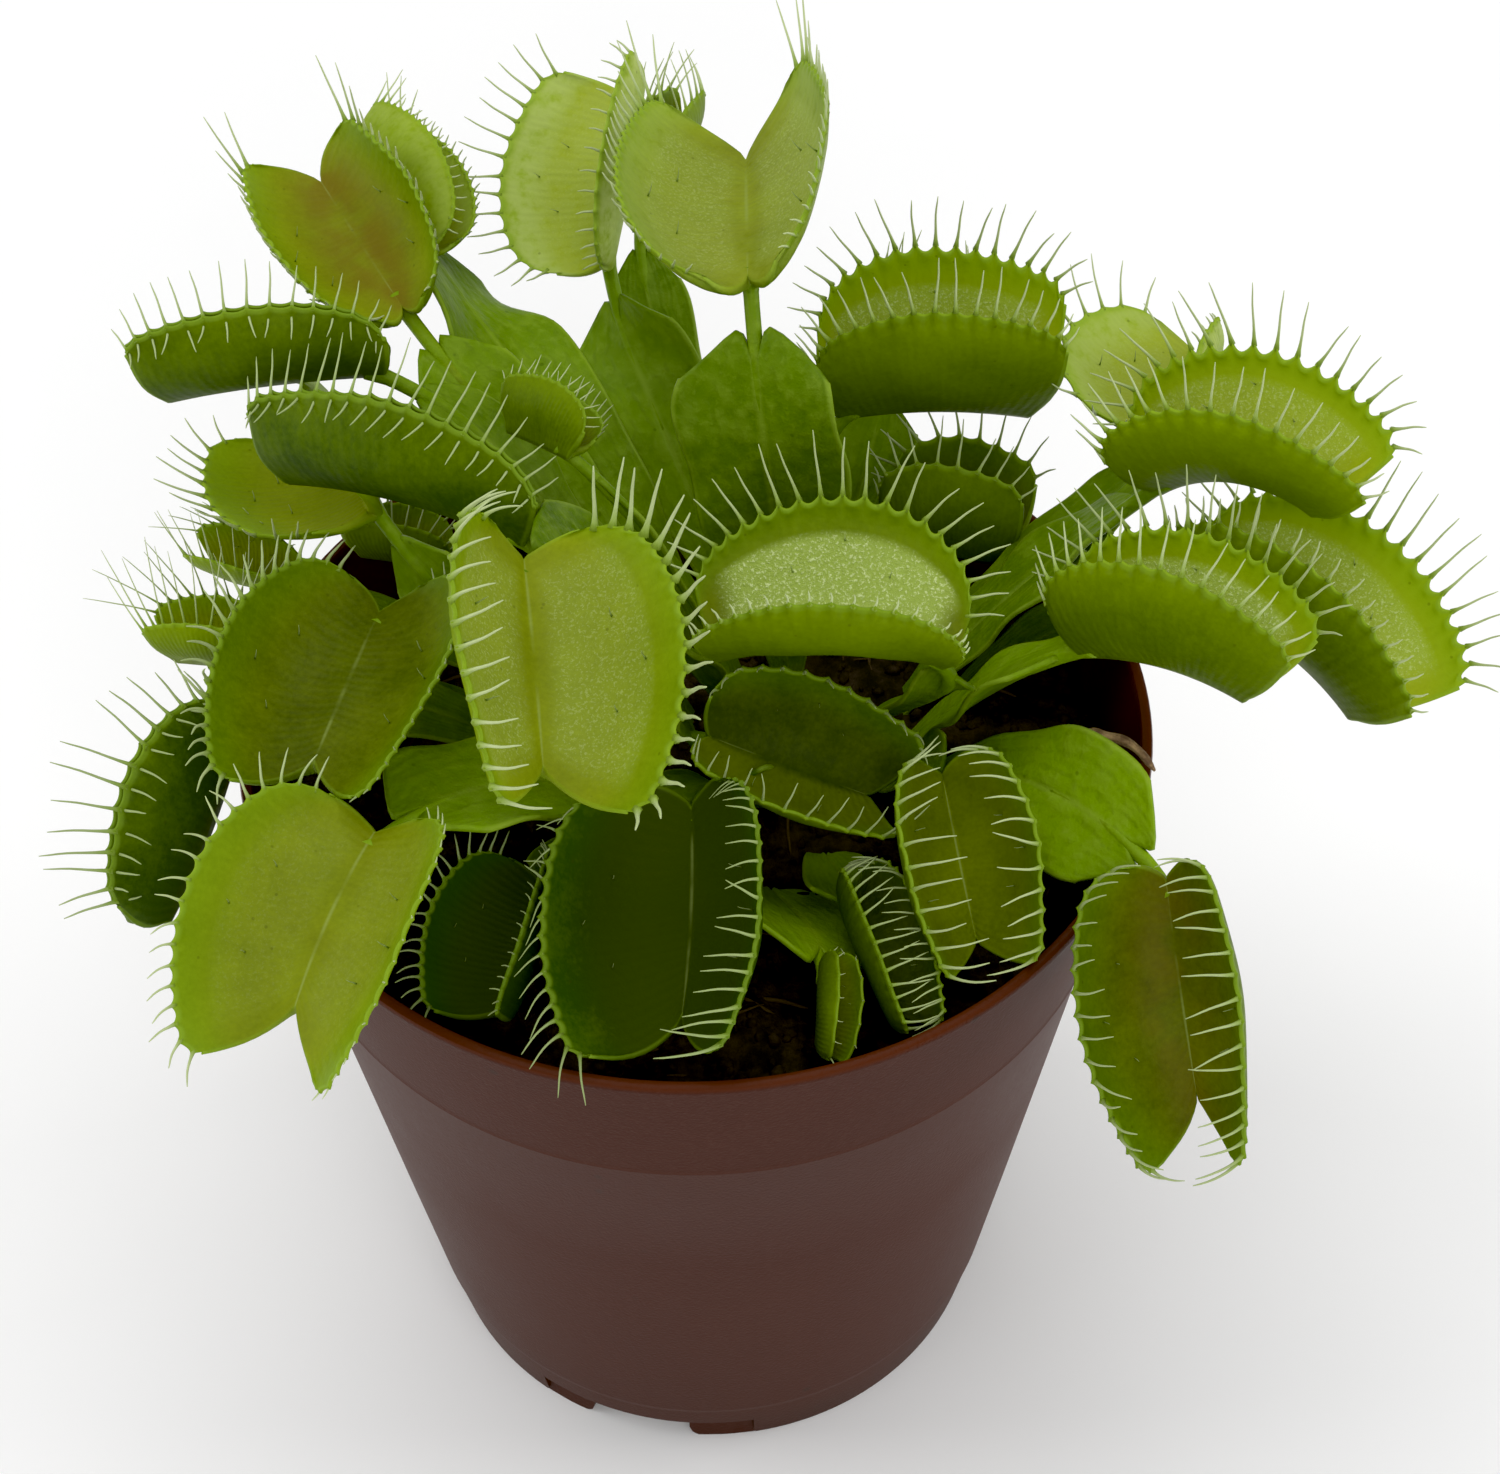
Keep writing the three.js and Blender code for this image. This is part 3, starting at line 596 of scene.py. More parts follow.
@dataclass(frozen=True)
class PotFinish:
    """Moulded brown-mauve plastic: dull sheen, fine grain, dust, a lip partly warmed by painted
    glow, a painted band-edge highlight and one scar.
    """

    body: Point = (0.052, 0.0115, 0.0068)
    dusty: Point = (0.078, 0.03, 0.023)
    # Partly painted glow: the lip's warmer red is partly light glowing through the thin rim, partly
    # the plastic's own colour.
    lip: Point = (0.085, 0.019, 0.007)
    stain: Point = (0.03, 0.017, 0.014)
    bruise: Point = (0.04, 0.006, 0.004)
    scar: Point = (25.5, -20.6, 11.6)
    lip_heights: tuple[float, float] = (85.35, 85.75)
    worn_heights: tuple[float, float] = (84.9, 85.5)
    # The heights of a painted highlight along the band's lower edge: starting, full, fading and
    # gone.
    band_edge_highlight_heights: tuple[float, float, float, float] = (68.0, 68.3, 68.6, 68.9)
    splashed: float = 9.0
    specular: float = 0.07

    def material(self) -> bpy.types.Material:
        """Builds the material."""
        shader = Shader("pot")
        split = shader.node("ShaderNodeSeparateXYZ", None, {0: shader.places})
        height = Value(shader, split.outputs[2]) * (1 / MM)
        cloud = shader.noise(22, 3, 0.6)
        speckle = shader.noise(0.7, 2, 0.7)
        streaks = shader.noise(3, 3, 0.6, shader.stretched((1.0, 1.0, 0.12)))
        dust = cloud.between(0.35, 0.75) * 0.25 + speckle.between(0.45, 0.7) * 0.3
        # Painted highlight: a thin lighter line at the band's lower edge, where the rounded edge
        # would catch the light.
        low, full, fading, high = self.band_edge_highlight_heights
        band_edge_highlight = height.between(low, full) * height.between(high, fading)
        scar = shader.near(self.scar) + (speckle - 0.5) * 0.9
        splash = height.between(self.splashed, 0.0) * cloud.between(0.35, 0.7)
        color = shader.layers(
            self.body, (dust, self.dusty), (height.between(*self.lip_heights) * 0.85, self.lip),
            (streaks.between(0.62, 0.78) * 0.15, self.dusty), (band_edge_highlight * 0.5, self.dusty),
            (shader.cells(9).between(0.08, 0.03) * 0.5, self.stain),
            (scar.between(0.95, 0.45) * 0.8, self.bruise), (splash * 0.35, self.stain))
        grain = shader.noise(0.35, 2, 0.6)
        normal = shader.bump(grain, 0.08, 0.6)
        normal = shader.bump(streaks, 0.08, 0.25, normal)
        rough = 0.44 + (cloud - 0.5) * 0.16 + (speckle - 0.5) * 0.1
        rough = rough - height.between(*self.worn_heights) * 0.14
        return shader.finish(color, rough, self.specular, normal)


@dataclass(frozen=True)
class PeatFinish:
    """Damp dark peat: near-black brown with paler crumbs and fibres."""

    wet: Point = (0.006, 0.004, 0.0025)
    crumb: Point = (0.055, 0.034, 0.021)
    fibre: Point = (0.12, 0.075, 0.035)
    specular: float = 0.2

    def material(self) -> bpy.types.Material:
        """Builds the material."""
        shader = Shader("peat")
        clod = shader.noise(2.4, 4, 0.7)
        fine = shader.noise(0.5, 3, 0.7)
        color = shader.layers(self.wet, (clod.between(0.35, 0.75) * 0.8, self.crumb),
                              (shader.mark("blush"), self.fibre),
                              (fine.between(0.62, 0.8) * 0.3, self.fibre))
        normal = shader.bump(clod, 0.6, 0.8)
        normal = shader.bump(fine, 0.2, 0.7, normal)
        rough = 0.85 - clod.between(0.55, 0.8) * 0.2
        return shader.finish(color, rough, self.specular, normal)


@dataclass(frozen=True)
class DryFinish:
    """A dried-up stalk: tan and brown, ridged along its length."""

    tan: Point = (0.38, 0.25, 0.12)
    brown: Point = (0.13, 0.07, 0.034)
    specular: float = 0.3

    def material(self) -> bpy.types.Material:
        """Builds the material."""
        shader = Shader("dry")
        patches = shader.noise(1.6, 4, 0.7)
        color = shader.blend(patches.between(0.35, 0.65), self.brown, self.tan)
        ridges = (shader.mark("reach") * 44.0).stripes()
        normal = shader.bump(ridges, 0.08, 0.6)
        normal = shader.bump(patches, 0.2, 0.6, normal)
        return shader.finish(color, 0.75 + (patches - 0.5) * 0.2, self.specular, normal)


class GrowthTree(NodeMaker):
    """A geometry node tree built in code, with named inputs for its sizes."""

    def __init__(self, name: str) -> None:
        """Starts a tree that takes in the carrier's geometry."""
        self.tree = bpy.data.node_groups.new(name, "GeometryNodeTree")
        self.identifiers: dict[str, str] = {}
        self._socket("Carrier", "NodeSocketGeometry", "INPUT")
        self._socket("Grown", "NodeSocketGeometry", "OUTPUT")
        self.source = self.node("NodeGroupInput")

    def _socket(self, name: str, kind: str, side: str) -> bpy.types.NodeTreeInterfaceSocket:
        """Adds a socket to the tree's interface."""
        socket = self.tree.interface.new_socket(name, in_out=side, socket_type=kind)
        self.identifiers[name] = socket.identifier
        return socket

    def number(self, name: str, value: float) -> bpy.types.NodeSocket:
        """A named input for a size, with its usual value."""
        self._socket(name, "NodeSocketFloat", "INPUT").default_value = value
        return self.source.outputs[name]

    def whole(self, name: str, value: int) -> bpy.types.NodeSocket:
        """A named input for a count or a seed."""
        self._socket(name, "NodeSocketInt", "INPUT").default_value = value
        return self.source.outputs[name]

    def finish_input(self) -> bpy.types.NodeSocket:
        """The named input for the material."""
        self._socket("Finish", "NodeSocketMaterial", "INPUT")
        return self.source.outputs["Finish"]

    def math(self, operation: str, *values: object) -> bpy.types.NodeSocket:
        """The result of a Math node."""
        node = self.node("ShaderNodeMath", {"operation": operation}, dict(enumerate(values)))
        return node.outputs[0]

    def held(self, name: str) -> bpy.types.NodeSocket:
        """A turn or size that each carrier point holds."""
        return self.node("GeometryNodeInputNamedAttribute", {"data_type": "FLOAT_VECTOR"},
                         {"Name": name}).outputs[0]

    def marked(self, shape: bpy.types.NodeSocket, along: object) -> bpy.types.NodeSocket:
        """A shape with "along" values at its points."""
        return self.node("GeometryNodeStoreNamedAttribute", {"data_type": "FLOAT"},
                         {"Geometry": shape, "Name": "along", "Value": along}).outputs[0]

    def end(self, points: bpy.types.NodeSocket, shape: bpy.types.NodeSocket,
            turn: bpy.types.NodeSocket, scale: bpy.types.NodeSocket,
            finish: bpy.types.NodeSocket) -> None:
        """Stands a shape on the points, makes one mesh of it all and closes the tree.

        Args:
            points: the points that it stands on.
            shape: what stands on each.
            turn: how each is turned.
            scale: how big each is.
            finish: their material.
        """
        rotation = self.node("FunctionNodeEulerToRotation", None, {0: turn})
        placed = self.node("GeometryNodeInstanceOnPoints", None,
                           {"Points": points, "Instance": shape,
                            "Rotation": rotation.outputs[0], "Scale": scale})
        real = self.node("GeometryNodeRealizeInstances", None, {0: placed.outputs[0]})
        dressed = self.node("GeometryNodeSetMaterial", None,
                            {"Geometry": real.outputs[0], "Material": finish})
        self.node("NodeGroupOutput", None, {0: dressed.outputs[0]})

    def grow(self, carrier: bpy.types.Mesh, material: bpy.types.Material,
             values: dict | None = None) -> bpy.types.Mesh:
        """Runs the tree on a carrier mesh.

        Args:
            carrier: the mesh that the repeats stand on.
            material: their material.
            values: other values for the named inputs.

        Returns:
            The grown mesh.
        """
        holder = linked("holder", carrier)
        modifier = holder.modifiers.new("growth", "NODES")
        modifier.node_group = self.tree
        modifier[self.identifiers["Finish"]] = material
        for name, value in (values or {}).items():
            modifier[self.identifiers[name]] = value
        mesh = evaluated_mesh(holder, layers=True)
        bpy.data.objects.remove(holder)
        return mesh


class BristleTree(GrowthTree):
    """Grows one tapered, bent bristle on each carrier point: teeth, hairs and fibres."""

    def __init__(self) -> None:
        """Builds the tree."""
        super().__init__("bristles")
        root = self.number("Root radius", 0.032)
        tip = self.number("Tip radius", 0.012)
        flare = self.number("Root flare", 0.05)
        bend = self.number("Bend", 0.17)
        wave = self.number("Wave", 0.02)
        steps = self.whole("Steps", 9)
        sides = self.whole("Sides", 6)
        finish = self.finish_input()
        line = self.node("GeometryNodeCurvePrimitiveLine", None, {"End": (0.0, 0.0, 1.0)})
        points = self.node("GeometryNodeResampleCurve", None,
                           {"Curve": line.outputs[0], "Count": steps})
        share = self.node("GeometryNodeSplineParameter").outputs["Factor"]
        rest = self.math("SUBTRACT", 1.0, share)
        taper = self.math("MULTIPLY", self.math("POWER", rest, 0.6), root)
        wide = self.math("MULTIPLY", self.math("POWER", rest, 9.0), flare)
        radius = self.math("ADD", self.math("ADD", taper, wide), tip)
        marked = self.marked(points.outputs[0], share)
        lean = self.math("MULTIPLY", self.math("POWER", share, 2.0), bend)
        turns = self.math("SINE", self.math("MULTIPLY", share, 8.0))
        sway = self.math("MULTIPLY", self.math("MULTIPLY", turns, share), wave)
        offset = self.node("ShaderNodeCombineXYZ", None, {0: lean, 1: sway})
        bent = self.node("GeometryNodeSetPosition", None,
                         {"Geometry": marked, "Offset": offset.outputs[0]})
        ring = self.node("GeometryNodeCurvePrimitiveCircle", {"mode": "RADIUS"},
                         {"Resolution": sides, "Radius": 1.0})
        solid = self.node("GeometryNodeCurveToMesh", None,
                          {"Curve": bent.outputs[0], "Profile Curve": ring.outputs[0],
                           "Scale": radius, "Fill Caps": True})
        self.end(self.source.outputs["Carrier"], solid.outputs[0], self.held("turn"),
                 self.held("size"), finish)


class CrumbTree(GrowthTree):
    """Scatters small lumps over a surface."""

    def __init__(self) -> None:
        """Builds the tree."""
        super().__init__("crumbs")
        density = self.number("Density", 2.2e5)
        smallest = self.number("Smallest", 0.0003)
        biggest = self.number("Biggest", 0.0011)
        seed = self.whole("Seed", 4)
        finish = self.finish_input()
        spots = self.node("GeometryNodeDistributePointsOnFaces", None,
                          {"Mesh": self.source.outputs["Carrier"], "Density": density,
                           "Seed": seed})
        lump = self.node("GeometryNodeMeshIcoSphere", None, {"Radius": 1.0, "Subdivisions": 1})
        size = self.node("FunctionNodeRandomValue", {"data_type": "FLOAT"},
                         {2: smallest, 3: biggest, "Seed": seed})
        stretch = self.node("FunctionNodeRandomValue", {"data_type": "FLOAT_VECTOR"},
                            {0: (0.7, 0.6, 0.5), 1: (1.4, 1.2, 1.0)})
        scale = self.node("ShaderNodeVectorMath", {"operation": "SCALE"},
                          {0: stretch.outputs[0], "Scale": size.outputs[1]})
        turn = self.node("FunctionNodeRandomValue", {"data_type": "FLOAT_VECTOR"},
                         {0: (0.0, 0.0, 0.0), 1: (6.28, 6.28, 6.28)})
        self.end(spots.outputs[0], self.marked(lump.outputs[0], 0.0), turn.outputs[0],
                 scale.outputs[0], finish)


@dataclass
class Bristles:
    """Where bristles stand: their roots, directions, bending directions and sizes."""

    roots: list[Array] = field(default_factory=list)
    ways: list[Array] = field(default_factory=list)
    leans: list[Array] = field(default_factory=list)
    sizes: list[tuple[float, float]] = field(default_factory=list)

    def add(self, root: Array, way: Array, lean: Array, size: tuple[float, float]) -> None:
        """Adds one bristle, its places and its width and length in millimetres."""
        self.roots.append(root)
        self.ways.append(way)
        self.leans.append(lean)
        self.sizes.append(size)

    def carrier(self) -> bpy.types.Mesh:
        """The mesh of single points that carries them, in metres."""
        mesh = bpy.data.meshes.new("carrier")
        mesh.from_pydata((np.array(self.roots) * MM).tolist(), [], [])
        turns = []
        for way, lean in zip(self.ways, self.leans):
            z = unit(way)
            x = unit(lean - z * np.dot(lean, z))
            y = np.cross(z, x)
            turns.append(Matrix((x, y, z)).transposed().to_euler())
        turn = mesh.attributes.new("turn", "FLOAT_VECTOR", "POINT")
        turn.data.foreach_set("vector", np.array(turns, np.float32).ravel())
        size = mesh.attributes.new("size", "FLOAT_VECTOR", "POINT")
        scales = [(wide, wide, long) for wide, long in self.sizes]
        size.data.foreach_set("vector", np.array(scales, np.float32).ravel() * MM)
        return mesh


@dataclass(frozen=True)
class LeafPlan:
    """One leaf, in millimetres and degrees, as in the part's source.

    base and tip are the ends of the trap's hinge, mouth the way it opens, lobe the width
    from hinge to margin, gape and curl the opening and cupping, bend the hinge's arch, fan
    how far the lobes lean back at the base and forward at the tip, blade the width of the
    wing, root the distance and turn of the stem in the crown, rise how steeply it leaves the
    peat, and twist where along the stem the blade begins to turn with the trap.
    """

    base: Point
    tip: Point
    mouth: Point
    lobe: float
    gape: float
    bend: float
    fan: tuple[float, float]
    blade: float
    root: tuple[float, float]
    rise: float
    curl: float = 40.0
    tooth_length: float = 6.5
    twist: float = 0.2


LEAVES = (
    # Back left, mouths up
    LeafPlan((-29, 35, 109.5), (-38, 53, 110.3), (-0.25, -0.1, 1), lobe=12.5, gape=96, curl=50,
             bend=-10, fan=(35, 22), blade=12, root=(8.5, 146), rise=52),
    LeafPlan((-27.6, 46.8, 107), (-34.4, 61.8, 107), (0.8, 0.1, 0.5), lobe=8, gape=34, curl=45,
             bend=12, fan=(20, 36), tooth_length=4, blade=12, root=(13, 132), rise=74, twist=0.6),
    # Back, tall and open
    LeafPlan((-9, 50, 102), (-6, 64, 112), (-0.8, -0.3, 0.5), lobe=13, gape=100, curl=45, bend=20,
             fan=(10, 11), tooth_length=6, blade=13, root=(8.5, 113), rise=60, twist=0.6),
    LeafPlan((-6, 62, 98), (-1, 76, 97), (0, 0.3, 1), lobe=8, gape=36, curl=45, bend=0,
             fan=(22, 35), blade=8, root=(17.5, 105), rise=50),
    LeafPlan((6, 26, 120), (6, 47, 117), (-0.28, 0.05, 1), lobe=15, gape=92, curl=43, bend=0,
             fan=(28, 28), blade=17, root=(4, 95), rise=74),
    # Back right, arched with mouths up
    LeafPlan((15, 31, 98), (34.3, 30, 98.8), (0, 0.2, 1), lobe=16.5, gape=48, curl=38, bend=20,
             fan=(8, 9), blade=10, root=(8.5, 77), rise=66),
    LeafPlan((49.3, 25.8, 98.5), (53.3, 37.8, 97), (-0.6, 0, 0.8), lobe=12.5, gape=72, bend=10,
             fan=(20, 25), blade=9, root=(13, 32), rise=58),
    LeafPlan((45.5, 15, 102.2), (60, 8.1, 105.5), (-0.1, 0.2, 1), lobe=13, gape=56, curl=36,
             bend=75, fan=(5, 14), blade=12, root=(8.5, 10), rise=62),
    LeafPlan((37, -3, 98.5), (51.5, -12, 101.5), (0, 0.4, 1), lobe=13, gape=44, curl=42, bend=35,
             fan=(14, 22), blade=11, root=(8.5, -20), rise=58),
    LeafPlan((49, 9.8, 92.2), (64, -4.5, 90.2), (0.3, 0.3, 1), lobe=15, gape=62, curl=36, bend=45,
             fan=(5, 20), blade=10.5, root=(13, 4), rise=70),
    # Middle
    LeafPlan((23.8, -8.6, 103), (2.4, -6.8, 102.6), (-0.05, 0.22, 1), lobe=14.2, gape=76, curl=42,
             bend=40, fan=(14, 4), blade=6, root=(4, -40), rise=80),
    LeafPlan((-15, -9, 117), (-13, -29, 112), (0.36, -0.19, 0.9), lobe=16, gape=86, curl=34, bend=5,
             fan=(12, 38), blade=10, root=(4, 230), rise=72),
    # Left
    LeafPlan((-15.5, 1.5, 109.8), (-39, 13, 107.5), (0.05, 0.2, 1), lobe=10.8, gape=18, curl=44,
             bend=25, fan=(4, 14), blade=9, root=(8.5, 180), rise=66),
    LeafPlan((-31.5, 16.2, 99), (-35.5, 28.2, 97.5), (-0.7, -0.2, 0.6), lobe=12.5, gape=60, curl=38,
             bend=-12, fan=(20, 16), tooth_length=3.2, blade=8, root=(13, 182), rise=42),
    LeafPlan((-30, 24, 111), (-51.5, 24, 108), (-0.1, 0, 1), lobe=10, gape=18, curl=44, bend=15,
             fan=(5, 12), tooth_length=5.5, blade=10, root=(13, 168), rise=74),
    LeafPlan((-30, 2, 99), (-35, -16, 98), (-0.1, 0, 1), lobe=13.5, gape=118, curl=48, bend=5,
             fan=(32, 36), blade=8, root=(13, 197), rise=66),
    LeafPlan((-44, -4, 92), (-51, -20, 81), (-0.6, -0.3, 0.7), lobe=13, gape=18, curl=42, bend=-20,
             fan=(14, 14), blade=8, root=(17.5, 202), rise=48),
    # Front left
    LeafPlan((-29, -24, 97), (-35.5, -39, 91.5), (-0.3, -0.3, 0.9), lobe=14, gape=118, bend=28,
             fan=(12, 42), blade=10, root=(13, 216), rise=54),
    # Front
    LeafPlan((0, -17, 92), (-1, -36, 85), (-0.35, -0.3, 0.9), lobe=16, gape=88, curl=34, bend=-25,
             fan=(14, 38), blade=9, root=(8.5, 250), rise=52),
    LeafPlan((23.6, -12.2, 90.3), (26.3, -25.4, 82.6), (0.05, -0.6, 0.8), lobe=13.5, gape=55,
             curl=42, bend=-15, fan=(18, 32), blade=8, root=(8.5, -52), rise=54),
    # Right, hanging outside the rim
    LeafPlan((44.1, -24.6, 89.6), (46.5, -39.2, 77.1), (-0.4, -0.4, 0.8), lobe=12.5, gape=78,
             curl=42, bend=8, fan=(16, 46), blade=13.5, root=(13, -36), rise=75),
    # Lower ones in the middle and the front
    LeafPlan((1.5, -8.9, 92.8), (16.1, -12.4, 88.2), (0.25, -0.4, 0.85), lobe=10.8, gape=80,
             bend=-5, fan=(18, 28), tooth_length=4, blade=4, root=(8.5, 218), rise=78),
    LeafPlan((-14.5, -19.7, 83.8), (-18, -31.8, 80.8), (-0.5, -0.3, 0.8), lobe=10.5, gape=66,
             bend=-5, fan=(18, 25), blade=7, root=(17.5, 232), rise=52),
    LeafPlan((15, -20.8, 82.1), (18.8, -31.4, 79.1), (0.1, -0.1, 1), lobe=8.5, gape=30, bend=10,
             fan=(14, 30), tooth_length=5, blade=7, root=(13, 278), rise=50),
    LeafPlan((12, -29, 83.5), (11.5, -35.8, 80.3), (0.5, -0.1, 0.8), lobe=5, gape=30, bend=5,
             fan=(18, 30), tooth_length=4, blade=12, root=(17.5, 260), rise=46),
    # Young ones
    LeafPlan((-11.5, 14, 109), (-17.5, 19, 108), (0.7, 0.6, 0.6), lobe=6, gape=50, bend=5,
             fan=(18, 25), tooth_length=3, blade=4, root=(4, 160), rise=76),
    LeafPlan((-26, 20, 88), (-34, 21, 89), (0, 0.3, 1), lobe=5.5, gape=50, bend=5, fan=(18, 30),
             tooth_length=4, blade=5, root=(17.5, 161), rise=45),
    LeafPlan((-40, 13.7, 91), (-48, 17, 90.8), (-0.4, 0, 0.9), lobe=6, gape=50, bend=5,
             fan=(14, 30), tooth_length=4, blade=5, root=(17.5, 173), rise=45),
    LeafPlan((-43, 3.2, 91.3), (-51, 5, 90.8), (-0.3, 0.3, 0.9), lobe=6.5, gape=50, bend=5,
             fan=(18, 30), tooth_length=6.5, blade=5, root=(17.5, 186), rise=46),
    # Low ones behind
    LeafPlan((20.8, 26.9, 83.3), (32, 23.3, 84.3), (0, 0.4, 0.9), lobe=12, gape=42, bend=0,
             fan=(14, 14), tooth_length=6, blade=8, root=(13, 52), rise=56),
    LeafPlan((21, 43, 90), (26, 55, 89), (0, 0.1, 1), lobe=8, gape=60, bend=8, fan=(18, 25),
             tooth_length=5, blade=9, root=(17.5, 76), rise=62),
)


@dataclass(frozen=True)
class Fringe:
    """One margin of a trap and its teeth.

    lean is how far the teeth point over the mouth, in degrees, base, middle and tip their
    length there as shares of the leaf's usual length, bend how far they curve over the mouth
    as a share of their length, droop how much of that goes downwards instead, width how
    thick they are and lobe how wide their lobe is, both as shares of the usual, shut how far
    the margin comes over the mouth, and fresh how much fresher that lobe's green is.
    """

    lean: float = 8.0
    base: float = 0.6
    middle: float = 1.0
    tip: float = 0.6
    bend: float = 0.1
    droop: float = 0.0
    width: float = 1.0
    lobe: float = 1.0
    shut: float = 0.0
    fresh: float = 0.0

    def length(self, s: float) -> float:
        """The length at a share of the margin."""
        crown = self.middle - 0.5 * (self.base + self.tip)
        return lerp(self.base, self.tip, s) + crown * math.sin(math.pi * s)


UP = Fringe(lean=30.0, base=0.5, middle=0.9, bend=0.05, shut=0.6)
DOWN = Fringe(lean=100.0, base=0.4, middle=0.6, tip=0.4, bend=0.2, shut=1.25)
OVER = Fringe(lean=42.0, base=0.5, middle=0.75, bend=0.4)
LADDER = Fringe(lean=42.0, base=0.5, middle=0.75, bend=0.4, lobe=1.2)
STUB = Fringe(lean=10.0, base=0.2, middle=0.15, tip=0.2, width=0.7)
FRONT = Fringe(lean=14.0, base=0.45, middle=0.75, tip=0.35)
DENSE = Fringe(lean=16.0, base=0.9, middle=1.3, tip=1.2, width=0.75)


@dataclass(frozen=True)
class Look:
    """How one leaf is coloured and fringed.

    tone runs from deep to fresh green and also paints the light and shade that falls on the
    leaf, inner is what the inner face adds to it, partly painted light on inner faces that lie
    in shade, blush is the red inside, gland how pale and grainy the middle of the inner face
    is, its grains painted as pale glints, blade the tone of the winged stalk, which likewise
    holds painted light and shade, left and right the margins, plume how much longer the teeth
    at the tip are, scallop how deep the margin is cut between them, in millimetres, spacing
    how far apart they stand, dome how much narrower the lobes are at their ends, swell how far
    the lobes' ends bulge, wing how wide the blade is as a share of the usual, reach how far
    along the stem it goes, and pale how strong a painted whitish sheen on the lobes is.
    """

    tone: float = 0.4
    inner: float = 0.0
    blush: float = 0.0
    gland: float = 0.0
    blade: float = 0.5
    left: Fringe = Fringe()
    right: Fringe = Fringe()
    plume: float = 0.0
    scallop: float = 0.5
    spacing: float = 1.9
    dome: float = 0.0
    swell: float = 0.05
    wing: float = 1.0
    reach: float = 0.815
    pale: float = 0.0


